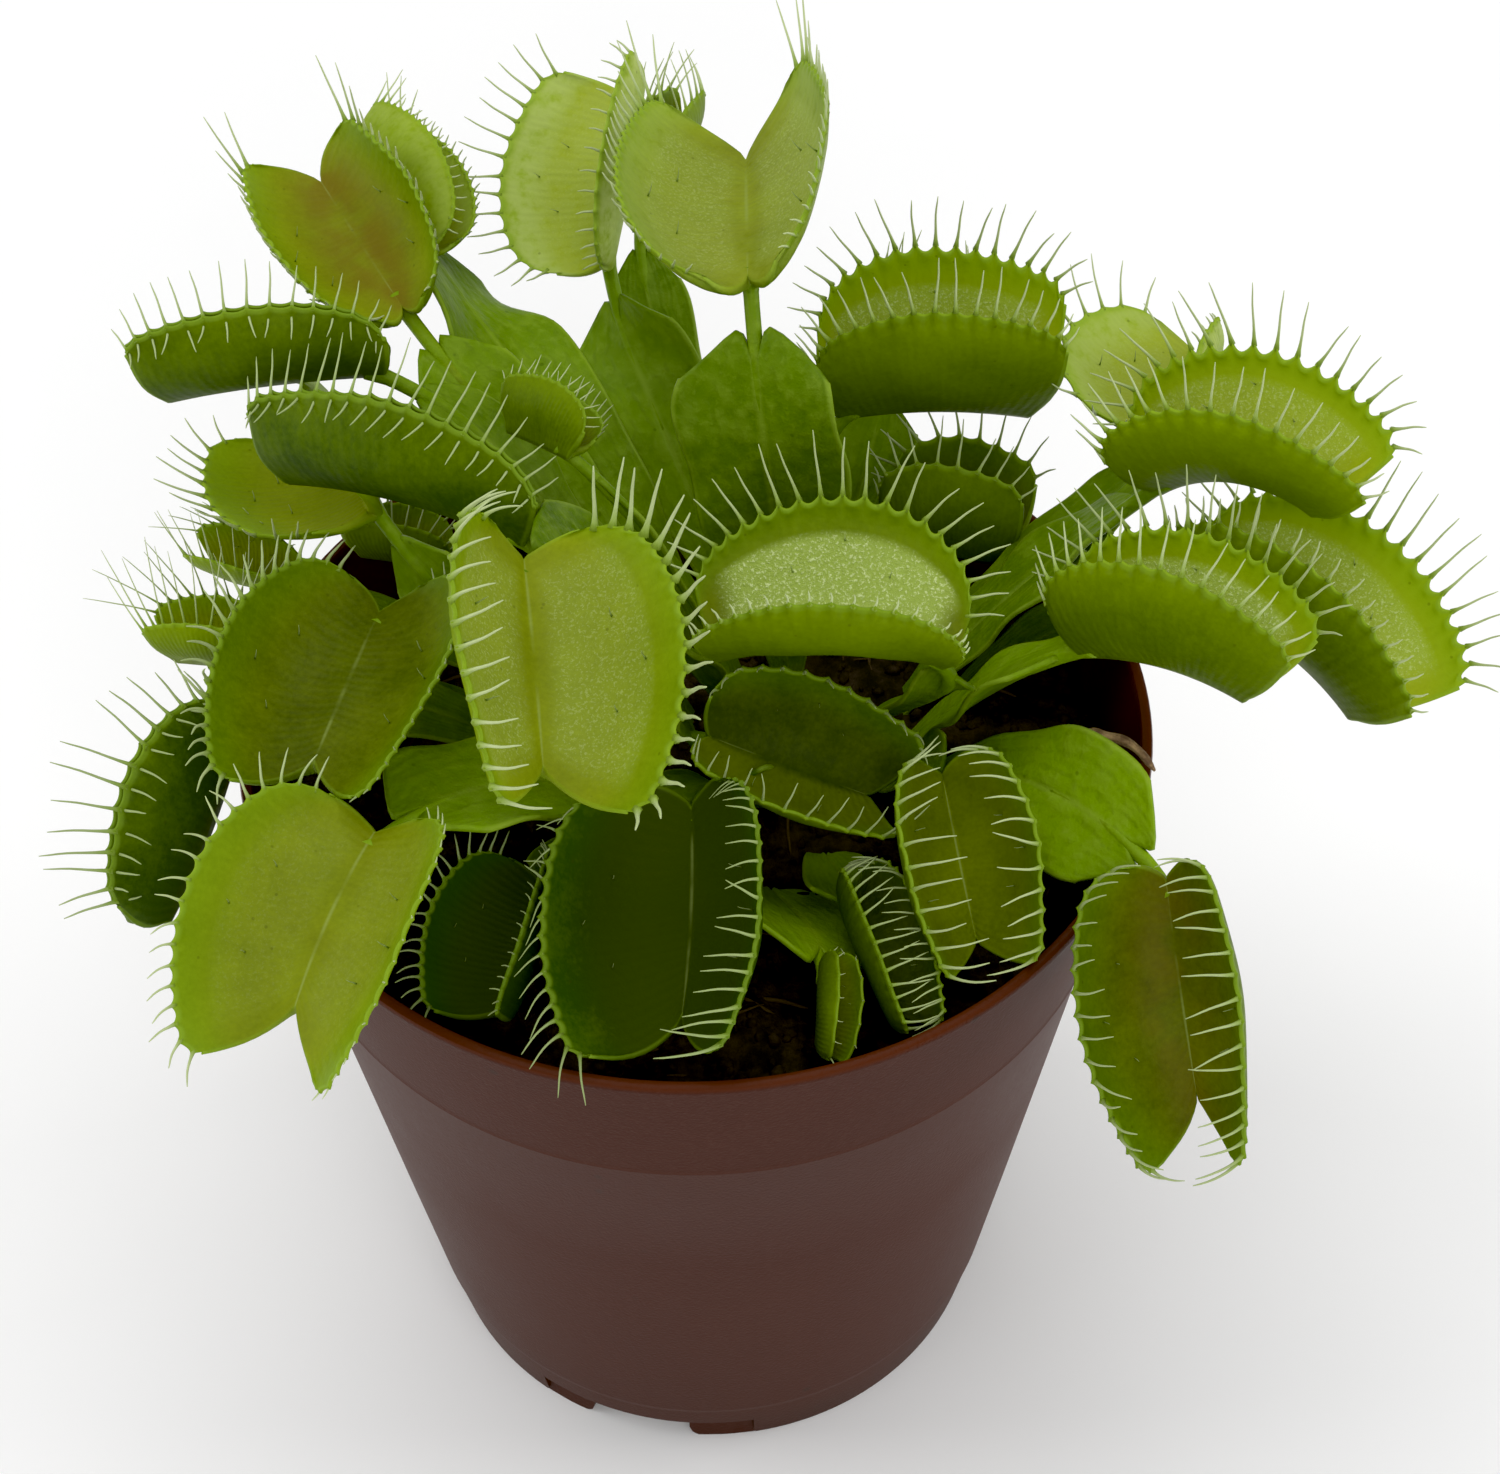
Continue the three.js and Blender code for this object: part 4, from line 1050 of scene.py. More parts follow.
USUAL = Look()
LOOKS = {
    1: Look(tone=0.55, inner=0.1, blush=0.85, blade=0.7, left=Fringe(base=0.5, middle=0.3,
            tip=0.25, lobe=0.92, fresh=0.1), right=Fringe(base=0.25, middle=0.25, tip=0.25,
            lobe=0.8, fresh=-0.12), plume=3.0, spacing=1.5, swell=0.12),
    2: Look(tone=0.7, inner=0.2, blush=0.15, blade=0.6, left=Fringe(base=0.3, middle=0.25,
            tip=0.4), right=Fringe(base=0.3, middle=0.25, tip=0.4), plume=2.2, spacing=1.3,
            swell=0.1, wing=1.3, reach=0.92, pale=0.3),
    3: Look(tone=0.85, inner=0.5, gland=0.08, blade=0.6, left=Fringe(middle=0.8, tip=0.75),
            right=Fringe(lean=40.0, base=0.3, middle=0.3, tip=0.35), pale=0.85),
    5: Look(tone=0.58, inner=0.2, blush=0.16, gland=0.25, blade=0.4, left=Fringe(base=0.3,
            middle=0.35, tip=0.4), right=Fringe(base=0.3, middle=0.35, tip=0.4, fresh=-0.12),
            plume=2.0, spacing=1.6, swell=0.12, pale=0.3),
    6: Look(tone=0.42, inner=0.6, gland=0.45, right=FRONT, scallop=1.1),
    7: Look(tone=0.8, inner=0.3, blush=0.1, gland=0.1, left=Fringe(lobe=1.2),
            right=Fringe(lean=20.0, base=0.3, middle=0.2, tip=0.1, lobe=0.6), dome=0.15, pale=0.6),
    8: Look(tone=0.5, inner=0.5, gland=0.3, right=FRONT, scallop=1.25, spacing=2.0, swell=0.03),
    9: Look(tone=0.34, inner=0.5, gland=0.75, blade=0.8, right=FRONT, scallop=1.0, dome=0.05,
            swell=0.03),
    10: Look(tone=0.32, inner=0.7, gland=0.5, right=Fringe(lean=14.0, base=0.3, middle=0.35,
             tip=0.2), scallop=1.2, spacing=2.0, swell=0.03),
    11: Look(tone=0.42, gland=1.0, left=Fringe(lean=25.0, base=0.14, middle=0.14, tip=0.2,
             bend=0.2, lobe=0.85), scallop=1.0, dome=0.25, swell=0.03),
    12: Look(tone=0.6, inner=0.08, blush=0.1, gland=0.22, blade=0.3, left=Fringe(lean=6.0,
             base=1.05, middle=0.5, tip=0.5, width=1.5), right=Fringe(lean=38.0, base=0.5,
             middle=0.75, bend=0.35, width=1.25), scallop=0.8, spacing=2.1, dome=0.06, wing=1.5),
    13: Look(tone=0.12, left=UP, right=DOWN),
    14: Look(tone=0.7, inner=0.1, blush=0.1, blade=0.6, left=Fringe(base=1.0, middle=1.6, tip=1.0,
             lobe=1.3), right=STUB),
    15: Look(tone=0.2, left=UP, right=DOWN),
    16: Look(tone=0.15, inner=0.1, blush=0.07, blade=0.6, left=STUB, right=Fringe(lean=20.0,
             base=0.4, middle=0.5, tip=0.5, bend=0.5, droop=0.8, width=1.2), spacing=1.6,
             dome=0.05, wing=1.4),
    17: Look(tone=0.05, left=Fringe(lean=20.0, middle=1.1, tip=0.8, bend=-0.1),
             right=Fringe(lean=100.0, base=0.4, middle=0.6, tip=0.4, bend=0.2, shut=1.9), dome=0.2,
             swell=0.09),
    18: Look(tone=0.58, blush=0.12, gland=0.05, blade=0.8, left=STUB, right=Fringe(lean=15.0,
             base=0.5, middle=0.35, tip=0.45, bend=0.4, droop=0.7), spacing=1.8, wing=1.5),
    19: Look(tone=-0.1, blade=0.2, left=Fringe(lean=40.0, base=0.05, middle=0.4, tip=0.95,
             bend=0.4), right=Fringe(lean=12.0, base=0.1, middle=0.1, tip=0.8, bend=0.55,
             droop=0.85, width=0.9, fresh=0.06), spacing=1.6, swell=0.09, wing=1.5),
    20: Look(tone=0.36, inner=0.05, blade=0.4, left=OVER, right=OVER),
    21: Look(tone=0.2, inner=0.05, blush=0.5, blade=1.0, left=OVER, right=OVER, swell=0.07),
    22: Look(tone=0.12, blade=0.3, left=Fringe(lean=30.0, base=0.4, middle=0.5, tip=0.5, bend=0.4),
             right=Fringe(lean=35.0, base=0.4, middle=0.65, tip=1.0, bend=0.35, fresh=0.3)),
    23: Look(tone=-0.15, blade=0.2, left=STUB, right=Fringe(base=0.4, middle=0.4, tip=0.5,
             bend=0.3, droop=0.8), spacing=1.2, wing=1.5),
    24: Look(tone=0.15, blade=0.75, left=LADDER, right=LADDER, scallop=0.8, spacing=1.3),
    25: Look(tone=0.35, blush=0.1, blade=1.0, left=STUB, right=STUB, plume=2.5, wing=1.5,
             reach=0.86),
    26: Look(tone=0.35, left=Fringe(lean=10.0, base=0.5, middle=0.7, width=0.75),
             right=Fringe(lean=10.0, base=0.5, middle=0.7, width=0.75), spacing=1.0),
    27: Look(tone=0.5, blush=0.1, spacing=1.2),
    28: Look(tone=0.6, blush=0.1, left=DENSE, right=DENSE, spacing=1.2),
    29: Look(tone=0.55, blush=0.1, left=DENSE, right=DENSE, spacing=1.2),
    30: Look(tone=0.25, right=FRONT),
}


class Trap:
    """The trap of one leaf: two cupped lobes on one hinge, toothed along both margins.

    Its numbers are lengths in millimetres, turns in degrees, and shares of the hinge's
    length, of the way from the hinge to the margin, or of the lobe's width.
    """

    rows: Shares = (0.0, 0.05, 0.13, 0.24, 0.36, 0.48, 0.6, 0.7, 0.79, 0.86, 0.91, 0.95, 0.98, 1.0)
    steps_per_tooth: int = 8
    fewest_teeth: int = 7
    hinge_thickness: float = 1.5
    margin_thickness: float = 0.4
    keel: float = 0.35
    keel_width: float = 0.07
    bulge: float = 0.055
    roll: float = 0.2
    waviness: float = 0.012
    full_size: float = 12.0
    end_widths: Shares = (0.6, 0.8)
    fullness: float = 0.7
    corners: Shares = (0.14, 0.09)
    roundings: Shares = (0.3, 0.16)
    end_margin: float = 0.012
    end_pushes: Shares = (0.32, 0.2)
    end_thicknesses: Shares = (0.35, 0.8)
    rim_turns: Shares = (50.0, 0.0, -50.0)
    rim_bead: float = 1.05
    crowding: float = 0.02
    base_swell: float = 0.8
    tooth_width: float = 3.5
    tooth_root: float = 0.35
    tooth_lengths: Shares = (0.84, 1.1)
    lean_spread: float = 5.0
    way_spread: float = 0.08
    bend_spread: float = 0.25
    hairs: tuple[Shares, ...] = ((0.33, 0.5), (0.5, 0.68), (0.67, 0.5))
    hair_root: float = 0.4

    def __init__(self, plan: LeafPlan, look: Look, seed: int) -> None:
        """Works out the frame of the hinge.

        Args:
            plan: the leaf's sizes.
            look: its colours and fringes.
            seed: the number that its small random differences come from.
        """
        self.plan = plan
        self.look = look
        self.random = np.random.default_rng(seed)
        start, end = np.array(plan.base, float), np.array(plan.tip, float)
        self.chord = float(np.linalg.norm(end - start))
        self.along = (end - start) / self.chord
        mouth = np.array(plan.mouth, float)
        self.mouth = unit(mouth - self.along * np.dot(mouth, self.along))
        self.across = np.cross(self.along, self.mouth)
        self.bend = math.radians(plan.bend or 0.5)
        self.radius = self.chord / (2 * math.sin(self.bend / 2))
        self.middle = (start + end) / 2
        self.waves = self.random.uniform(0, 2 * math.pi, (2, 4))
        fine = np.linspace(self.end_margin, 1 - self.end_margin, 80)
        edge = self.lobe(fine, 1.0, Side.RIGHT)[0]
        run = np.concatenate([[0], np.cumsum(np.linalg.norm(np.diff(edge, axis=0), axis=1))])
        self.teeth = max(self.fewest_teeth, round(run[-1] / look.spacing) + 1)
        self.count = (self.teeth - 1) * self.steps_per_tooth
        even = np.linspace(0, 1, self.count + 1)
        crowded = even - self.crowding * np.sin(2 * math.pi * even)
        self.stations = np.interp(crowded, run / run[-1], fine)

    def hinge(self, s: Array) -> tuple[Array, Array, Array]:
        """The hinge's points, directions and mouth directions at shares of its length."""
        angle = (np.asarray(s, float)[..., None] - 0.5) * self.bend
        rise = np.cos(angle) - math.cos(self.bend / 2)
        point = self.middle + self.radius * (np.sin(angle) * self.along + rise * self.mouth)
        along = np.cos(angle) * self.along - np.sin(angle) * self.mouth
        mouth = np.sin(angle) * self.along + np.cos(angle) * self.mouth
        return point, along, mouth

    def margin(self, side: Side) -> Fringe:
        """How one side's margin looks."""
        return self.look.left if side == Side.LEFT else self.look.right

    def width(self, s: Array) -> Array:
        """How wide a lobe is, full in the middle and rounded at its corners."""
        end = lerp(*self.end_widths, s) - self.look.dome
        arch = np.maximum(np.sin(math.pi * s), 0) ** self.fullness
        full = self.plan.lobe * (end + (1 - end) * arch)
        for near_end, corner, rounding in zip((s, 1 - s), self.corners, self.roundings):
            near = np.maximum(1 - near_end / corner, 0)
            full = full * (1 - rounding * (1 - np.sqrt(1 - near ** 2)))
        return full

    def dips(self, s: Array, t: Array) -> Array:
        """How far the margin is cut back between the teeth."""
        tooth = np.interp(s, self.stations, np.linspace(0, self.teeth - 1, self.count + 1))
        deep = self.look.scallop * np.minimum(1.0, self.width(s) / self.full_size)
        start = 0.94 - 0.08 * self.look.scallop
        return deep * np.abs(np.sin(math.pi * tooth)) ** 0.7 * ease(start, 1, t)

    def lobe(self, s: Array, t: Array, side: Side,
             dip: Array | float = 0.0) -> tuple[Array, Array, Array]:
        """Points of a lobe's middle surface.

        Args:
            s: shares along the hinge.
            t: shares from the hinge to the margin.
            side: which lobe.
            dip: how far the points lie back towards the hinge.

        Returns:
            The points, the outward normals, and the directions towards the margin.
        """
        s, t = np.broadcast_arrays(np.asarray(s, float), np.asarray(t, float))
        point, along, mouth = self.hinge(s)
        back, forward = self.plan.fan
        tilt = np.radians(lerp(-back, forward, s))[..., None]
        curl = math.radians(self.plan.curl)
        opening = math.radians(self.plan.gape / 2) + curl / 2
        angle = (opening - curl * t)[..., None]
        reach = self.width(s) * self.margin(side).lobe * t - dip
        scaled = (reach / curl)[..., None] / np.maximum(t, 1e-6)[..., None]
        up = scaled * (math.sin(opening) - np.sin(angle))
        out = scaled * (np.cos(angle) - math.cos(opening))
        out = out * (1 - self.margin(side).shut * ease(0.35, 1.0, t))[..., None]
        normal = int(side) * np.cos(angle) * self.across - np.sin(angle) * mouth
        flat = ease(0.0, 0.12, t)[..., None]
        normal = unit(flat * normal - (1 - flat) * mouth)
        outward = np.cos(angle) * mouth + int(side) * np.sin(angle) * self.across
        way = unit(np.sin(tilt) * along + np.cos(tilt) * outward)
        swell = ease(0.7, 1.0, s) - self.base_swell * ease(0.3, 0.0, s)
        swell = swell * self.plan.lobe * self.look.swell
        swell = (swell * np.sin(math.pi * np.minimum(t, 1)))[..., None]
        place = (point + np.sin(tilt) * reach[..., None] * along
                 + np.cos(tilt) * (up * mouth + int(side) * out * self.across)
                 + swell * (np.cos(tilt) * along - np.sin(tilt) * outward))
        return place + self.relief(s, t, side)[..., None] * normal, normal, way

    def relief(self, s: Array, t: Array, side: Side) -> Array:
        """How far the lobe stands out from its plain form: crown, rolled rim and slight waves."""
        crown = self.bulge * self.chord * 4 * s * (1 - s) * np.sin(math.pi * np.minimum(t, 1))
        roll = self.roll * ease(0.9, 1.0, t) * min(1.0, self.plan.lobe / self.full_size)
        phase = self.waves[0 if side == Side.LEFT else 1]
        wave = (np.sin(7.0 * s + phase[0]) * np.sin(3.0 * t + phase[1])
                + 0.5 * np.sin(15.0 * s + phase[2]) * np.sin(5.0 * t + phase[3]))
        return crown + roll + self.waviness * self.plan.lobe * wave * ease(0, 0.3, t)

    def add_to(self, skin: Skin) -> None:
        """Adds the trap's closed skin."""
        rows, ends = np.array(self.rows), np.array([self.end_pushes, self.end_thicknesses])
        places = np.concatenate([[0], self.stations, [1]])
        s = np.pad(places, len(self.end_pushes), "edge")
        push = np.concatenate([-ends[0], 0 * places, ends[0, ::-1]])
        squeeze = np.concatenate([ends[1], 0 * places + 1, ends[1, ::-1]])
        grid_s, grid_t = np.meshgrid(s, rows, indexing="ij")
        thick = lerp(self.hinge_thickness, self.margin_thickness, grid_t) * squeeze[:, None]
        thick = thick * min(1.0, 0.45 + self.plan.lobe / 20)
        shift = push[:, None, None] * self.hinge(grid_s)[1]
        faces_out, faces_in, rims = {}, {}, {}
        dip = self.dips(grid_s, grid_t)
        for side in Side:
            place, normal, way = self.lobe(grid_s, grid_t, side, dip)
            half = thick[..., None] / 2
            keel = self.keel * np.exp(-(grid_t / self.keel_width) ** 2)[..., None]
            keel = keel * squeeze[:, None, None]
            faces_out[side] = place + shift + (half + keel) * normal
            faces_in[side] = place + shift - half * normal
            arc = np.radians(self.rim_turns)[None, :, None]
            bead = half[:, -1:] * self.rim_bead
            rims[side] = (place[:, -1:] + shift[:, -1:] + bead * np.cos(arc) * way[:, -1:]
                          + half[:, -1:] * np.sin(arc) * normal[:, -1:])
        left, right = Side.LEFT, Side.RIGHT
        loops = np.concatenate([
            faces_out[left][:, :0:-1], faces_out[right], rims[right],
            faces_in[right][:, :0:-1], faces_in[left], rims[left][:, ::-1]], axis=1)
        size = len(rows)
        outer, rim = 2 * size - 1, len(self.rim_turns)
        reach_row = np.concatenate([rows[:0:-1], rows, [1] * rim] * 2)
        inside_row = np.concatenate([[0] * outer, [0.5] * rim, [1] * outer, [0.5] * rim])
        rings, loop = loops.shape[:2]
        inner = outer + rim
        cap = [[k, k + 1, inner + outer - 2 - k, inner + outer - 1 - k] for k in range(outer - 1)]
        cap.append([outer - 1, *range(outer, inner + 1)])
        cap.append([inner + outer - 1, *range(inner + outer, loop), 0])
        # Each lobe's tone, and the lift of its inner face, carry painted light and shade as well as
        # the leaf's own green.
        fresh = np.array([self.margin(side).fresh for side in Side])
        lobe_row = np.repeat([0, 1, 0], [size - 1, 2 * size + rim - 1, size + rim])
        tone = self.look.tone + fresh[lobe_row] * ease(0.0, 0.12, reach_row)
        skin.add(loops.reshape(-1, 3), capped_tube(rings, loop, cap), Cover.LOBE,
                 along=np.repeat(s, loop), reach=np.tile(reach_row, rings),
                 inside=np.tile(inside_row, rings),
                 tone=np.tile(tone + self.look.inner * inside_row, rings),
                 blush=self.look.blush, gland=self.look.gland, pale=self.look.pale)

    def tooth_wide(self, side: Side) -> float:
        """How wide the teeth of one margin are, in the tree's unit."""
        return self.tooth_width * self.margin(side).width * min(1.0, 0.5 + self.plan.lobe / 26)

    def tooth_bend(self, side: Side) -> float:
        """How far the teeth of one margin curve, in the tree's unit."""
        fringe = self.margin(side)
        long = self.plan.tooth_length * max(fringe.middle, fringe.tip)
        return fringe.bend * long / self.tooth_wide(side)

    def teeth_of(self, side: Side) -> Bristles:
        """One tooth on each peak of a margin, a little uneven."""
        teeth = Bristles()
        down = np.array([0.0, 0.0, -1.0])
        fringe = self.margin(side)
        for s in self.stations[::self.steps_per_tooth]:
            place, normal, _ = self.lobe(s, 1.0, side)
            straight = self.outward(s, side)
            lean = math.radians(fringe.lean + self.random.normal(0, self.lean_spread))
            way = unit(straight * math.cos(lean) - normal * math.sin(lean)
                       + self.along * self.random.normal(0, self.way_spread))
            long = self.plan.tooth_length * fringe.length(s)
            long *= self.random.uniform(*self.tooth_lengths)
            long *= 1 + self.look.plume * float(ease(0.8, 0.95, s))
            bend = -normal * (1 - fringe.droop) + down * fringe.droop
            bend += self.along * self.random.normal(0, self.bend_spread)
            teeth.add(place - self.tooth_root * straight, way, bend,
                      (self.tooth_wide(side), long + self.tooth_root))
        return teeth

    def outward(self, s: float, side: Side) -> Array:
        """The direction straight out from the margin, in the lobe's surface."""
        span = 0.04
        low, high = max(s - span, 0.02), min(s + span, 0.98)
        before, _, _ = self.lobe(low, 0.8, side)
        after, _, _ = self.lobe(high, 0.8, side)
        edge = self.width(np.array([low, high]))
        _, normal, way = self.lobe(s, 1.0, side)
        run = unit(after - before + 0.7 * (edge[1] - edge[0]) * way)
        straight = way - run * np.dot(way, run)
        return unit(0.35 * way + 0.65 * unit(straight))

    def trigger_hairs(self) -> Bristles:
        """Three fine hairs on the inner face of each lobe."""
        hairs = Bristles()
        for side in Side:
            for s, t in self.hairs:
                place, normal, way = self.lobe(s, t, side)
                stand = unit(-normal + 0.25 * way)
                long = self.plan.lobe * 0.09 + 0.3
                hairs.add(place - self.hair_root * normal, stand, way, (long, long))
        return hairs


class Stem:
    """The leaf's winged blade and its round stalk, from the peat to the trap.

    Its numbers are lengths in millimetres, and shares of the stem's length, of the wing's
    half width or of a full turn of the wing's waves.
    """

    crown: Shares = (10.0, 9.0)
    root_height: float = 70.0
    root_width: float = 3.0
    sink: float = 1.6
    guide_reach: Shares = (0.4, 0.3)
    line_points: int = 401
    lanes: Shares = (0.0, 0.05, 0.12, 0.25, 0.42, 0.6, 0.78, 0.92, 1.0)
    rows: int = 44
    fold: float = 0.16
    heart: float = 0.08
    edge_wave: float = 0.045
    ripple: float = 0.45
    wing_thickness: float = 0.55
    rib_thickness: float = 0.75
    groove: float = 0.4
    brim: float = 0.22
    stalk_start: float = 0.6
    stalk_radius: float = 0.85
    stalk_rings: int = 20
    stalk_sides: int = 10

    def __init__(self, plan: LeafPlan, look: Look, trap: Trap, seed: int) -> None:
        """Works out the middle line.

        Args:
            plan: the leaf's sizes.
            look: its colours.
            trap: its trap.
            seed: the number that its small random differences come from.
        """
        self.plan = plan
        self.look = look
        self.random = np.random.default_rng(seed + 500)
        hinge, along, self.hinge_mouth = trap.hinge(0.0)
        root = polar(*plan.root, self.root_height) + np.array([*self.crown, 0])
        end = hinge + self.sink * along
        span = float(np.linalg.norm(end - root))
        rise = math.radians(plan.rise)
        out = polar(math.cos(rise), plan.root[1], math.sin(rise))
        self.face_up = polar(-math.sin(rise), plan.root[1], math.cos(rise))
        approach = unit(0.6 * along + 0.4 / span * (end - root))
        t = np.linspace(0, 1, self.line_points)[:, None]
        near, far = self.guide_reach
        self.line = bezier(root, root + out * span * near, end - approach * span * far, end, t)
        steps = np.linalg.norm(np.diff(self.line, axis=0), axis=1)
        self.shares = np.concatenate([[0], np.cumsum(steps)]) / steps.sum()
        self.length = float(steps.sum())

    def frames(self, at: Array) -> tuple[Array, Array, Array]:
        """The middle points, sideways and upward directions at shares of the length."""
        at = np.asarray(at, float)
        place = np.stack([np.interp(at, self.shares, self.line[:, k]) for k in range(3)], -1)
        way = unit(np.gradient(self.line, axis=0))
        forward = np.stack([np.interp(at, self.shares, way[:, k]) for k in range(3)], -1)
        forward = unit(forward)
        share = ease(self.plan.twist, 0.95, at)[..., None]
        up = (1 - share) * self.face_up + share * self.hinge_mouth
        up = unit(up - forward * np.sum(up * forward, -1, keepdims=True))
        return place, np.cross(forward, up), up

    def half_width(self, at: Array) -> Array:
        """Half the wing's width: it widens to blunt shoulders."""
        shoulder = self.look.reach - 0.075
        share = 0.1 + 0.9 * ease(0, shoulder, at)
        share = share - 0.55 * (np.maximum(at - shoulder, 0) / 0.16) ** 2
        return np.maximum(self.plan.blade * self.look.wing * share, self.root_width) / 2

    def add_to(self, skin: Skin) -> None:
        """Adds the wing, with its heart-shaped end, and the stalk."""
        lanes = np.array(self.lanes)
        across = np.concatenate([-lanes[:0:-1], lanes])
        wide = np.abs(across)
        notch = self.heart * np.sin(math.pi * wide ** 0.75)
        ends = self.look.reach + notch - 0.01 * wide ** 3
        p = np.linspace(0, 1, self.rows)[:, None]
        at = p * ends
        place, side, up = self.frames(at)
        phase = self.random.uniform(0, 6.28, 2)
        strong = min(1.0, self.plan.blade / 12)
        which = np.where(across < 0, phase[0], phase[1])
        wave = self.edge_wave * np.sin(at * self.length * 0.38 + 2 * which)
        reach = self.half_width(at) * (1 + wave * wide)
        ripple = self.ripple * strong * np.sin(at * self.length * 0.55 + which) * wide ** 3
        lift = reach * self.fold * wide + ripple * ease(0.25, 0.5, at)
        thick = self.wing_thickness + self.rib_thickness * np.exp(-(wide / 0.16) ** 2)
        groove = self.groove * np.exp(-(wide / 0.06) ** 2)
        groove = groove * ease(0.05, 0.2, at) * ease(0.75, 0.6, at)
        base = place + (across * reach)[..., None] * side
        top = base + (lift + thick / 2 - groove)[..., None] * up
        bottom = base + (lift - thick / 2)[..., None] * up
        brim = base + self.brim * np.sign(across)[:, None] * side + lift[..., None] * up
        loops = np.concatenate([top, brim[:, -1:], bottom[:, ::-1], brim[:, :1]], axis=1)
        rings, loop = loops.shape[:2]
        reach_row = np.concatenate([wide, [1], wide[::-1], [1]])
        inside = np.concatenate([np.ones(len(wide)), [0.5], np.zeros(len(wide)), [0.5]])
        count = len(across)
        cap = [[k, k + 1, 2 * count - 1 - k, 2 * count - k] for k in range(count - 1)]
        cap += [[count - 1, count, count + 1], [2 * count, 2 * count + 1, 0]]
        # The blade's tone carries painted light and shade as well as its own green.
        tone = self.look.blade
        along = np.concatenate([at, at[:, -1:], at[:, ::-1], at[:, :1]], axis=1)
        skin.add(loops.reshape(-1, 3), capped_tube(rings, loop, cap), Cover.BLADE,
                 along=along.ravel(), reach=np.tile(reach_row, rings),
                 inside=np.tile(inside, rings), tone=tone)
        at = np.linspace(self.stalk_start, 1, self.stalk_rings)
        slim = self.stalk_radius * min(1.0, 0.6 + self.plan.lobe / 25)
        radii = slim * (0.4 + 0.5 * ease(0.6, 0.82, at) + 0.3 * ease(0.95, 1, at))
        points, faces = plain_tube(self.frames(at)[0], radii, self.stalk_sides)
        skin.add(points, faces, Cover.BLADE, along=np.repeat(at, self.stalk_sides), reach=0.5,
                 inside=0.5, tone=min(tone + 0.15, 1.0), blush=self.look.blush * 0.5)


@dataclass
class Leaf:
    """One leaf grown as one piece: winged stem, trap, teeth and trigger hairs."""

    number: int
    plan: LeafPlan
    look: Look
    hair: dict[str, float] = field(default_factory=lambda: {
        "Root radius": 0.03, "Root flare": 0.03, "Tip radius": 0.012, "Sides": 4, "Steps": 4,
        "Bend": 0.1})

    def build(self, bristles: BristleTree, covers: list[bpy.types.Material]) -> bpy.types.Object:
        """Builds and dresses the leaf, and puts it in place of its solid.

        Args:
            bristles: the tree that grows teeth and hairs.
            covers: the materials of lobe, tooth and blade.

        Returns:
            The leaf's object.
        """
        skin = Skin()
        trap = Trap(self.plan, self.look, self.number)
        stem = Stem(self.plan, self.look, trap, self.number)
        trap.add_to(skin)
        stem.add_to(skin)
        for side in Side:
            carrier = trap.teeth_of(side).carrier()
            teeth = bristles.grow(carrier, covers[Cover.TOOTH], {"Bend": trap.tooth_bend(side)})
            # The teeth take the leaf's tone, which carries painted light and shade.
            skin.absorb(teeth, Cover.TOOTH, tone=self.look.tone)
        hairs = bristles.grow(trap.trigger_hairs().carrier(), covers[Cover.TOOTH], self.hair)
        skin.absorb(hairs, Cover.TOOTH)
        node = f"leaf_{self.number:02d}"
        piece = skin.build(f"{node}_look", covers)
        place_piece(piece, node)
        return piece


def place_piece(piece: bpy.types.Object, node: str) -> None:
    """Rides a piece on the root body in place of its CAD node, and logs it."""
    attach(piece, "root")
    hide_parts(node)
    LOG.info("%s: %d faces", piece.name, len(piece.data.polygons))


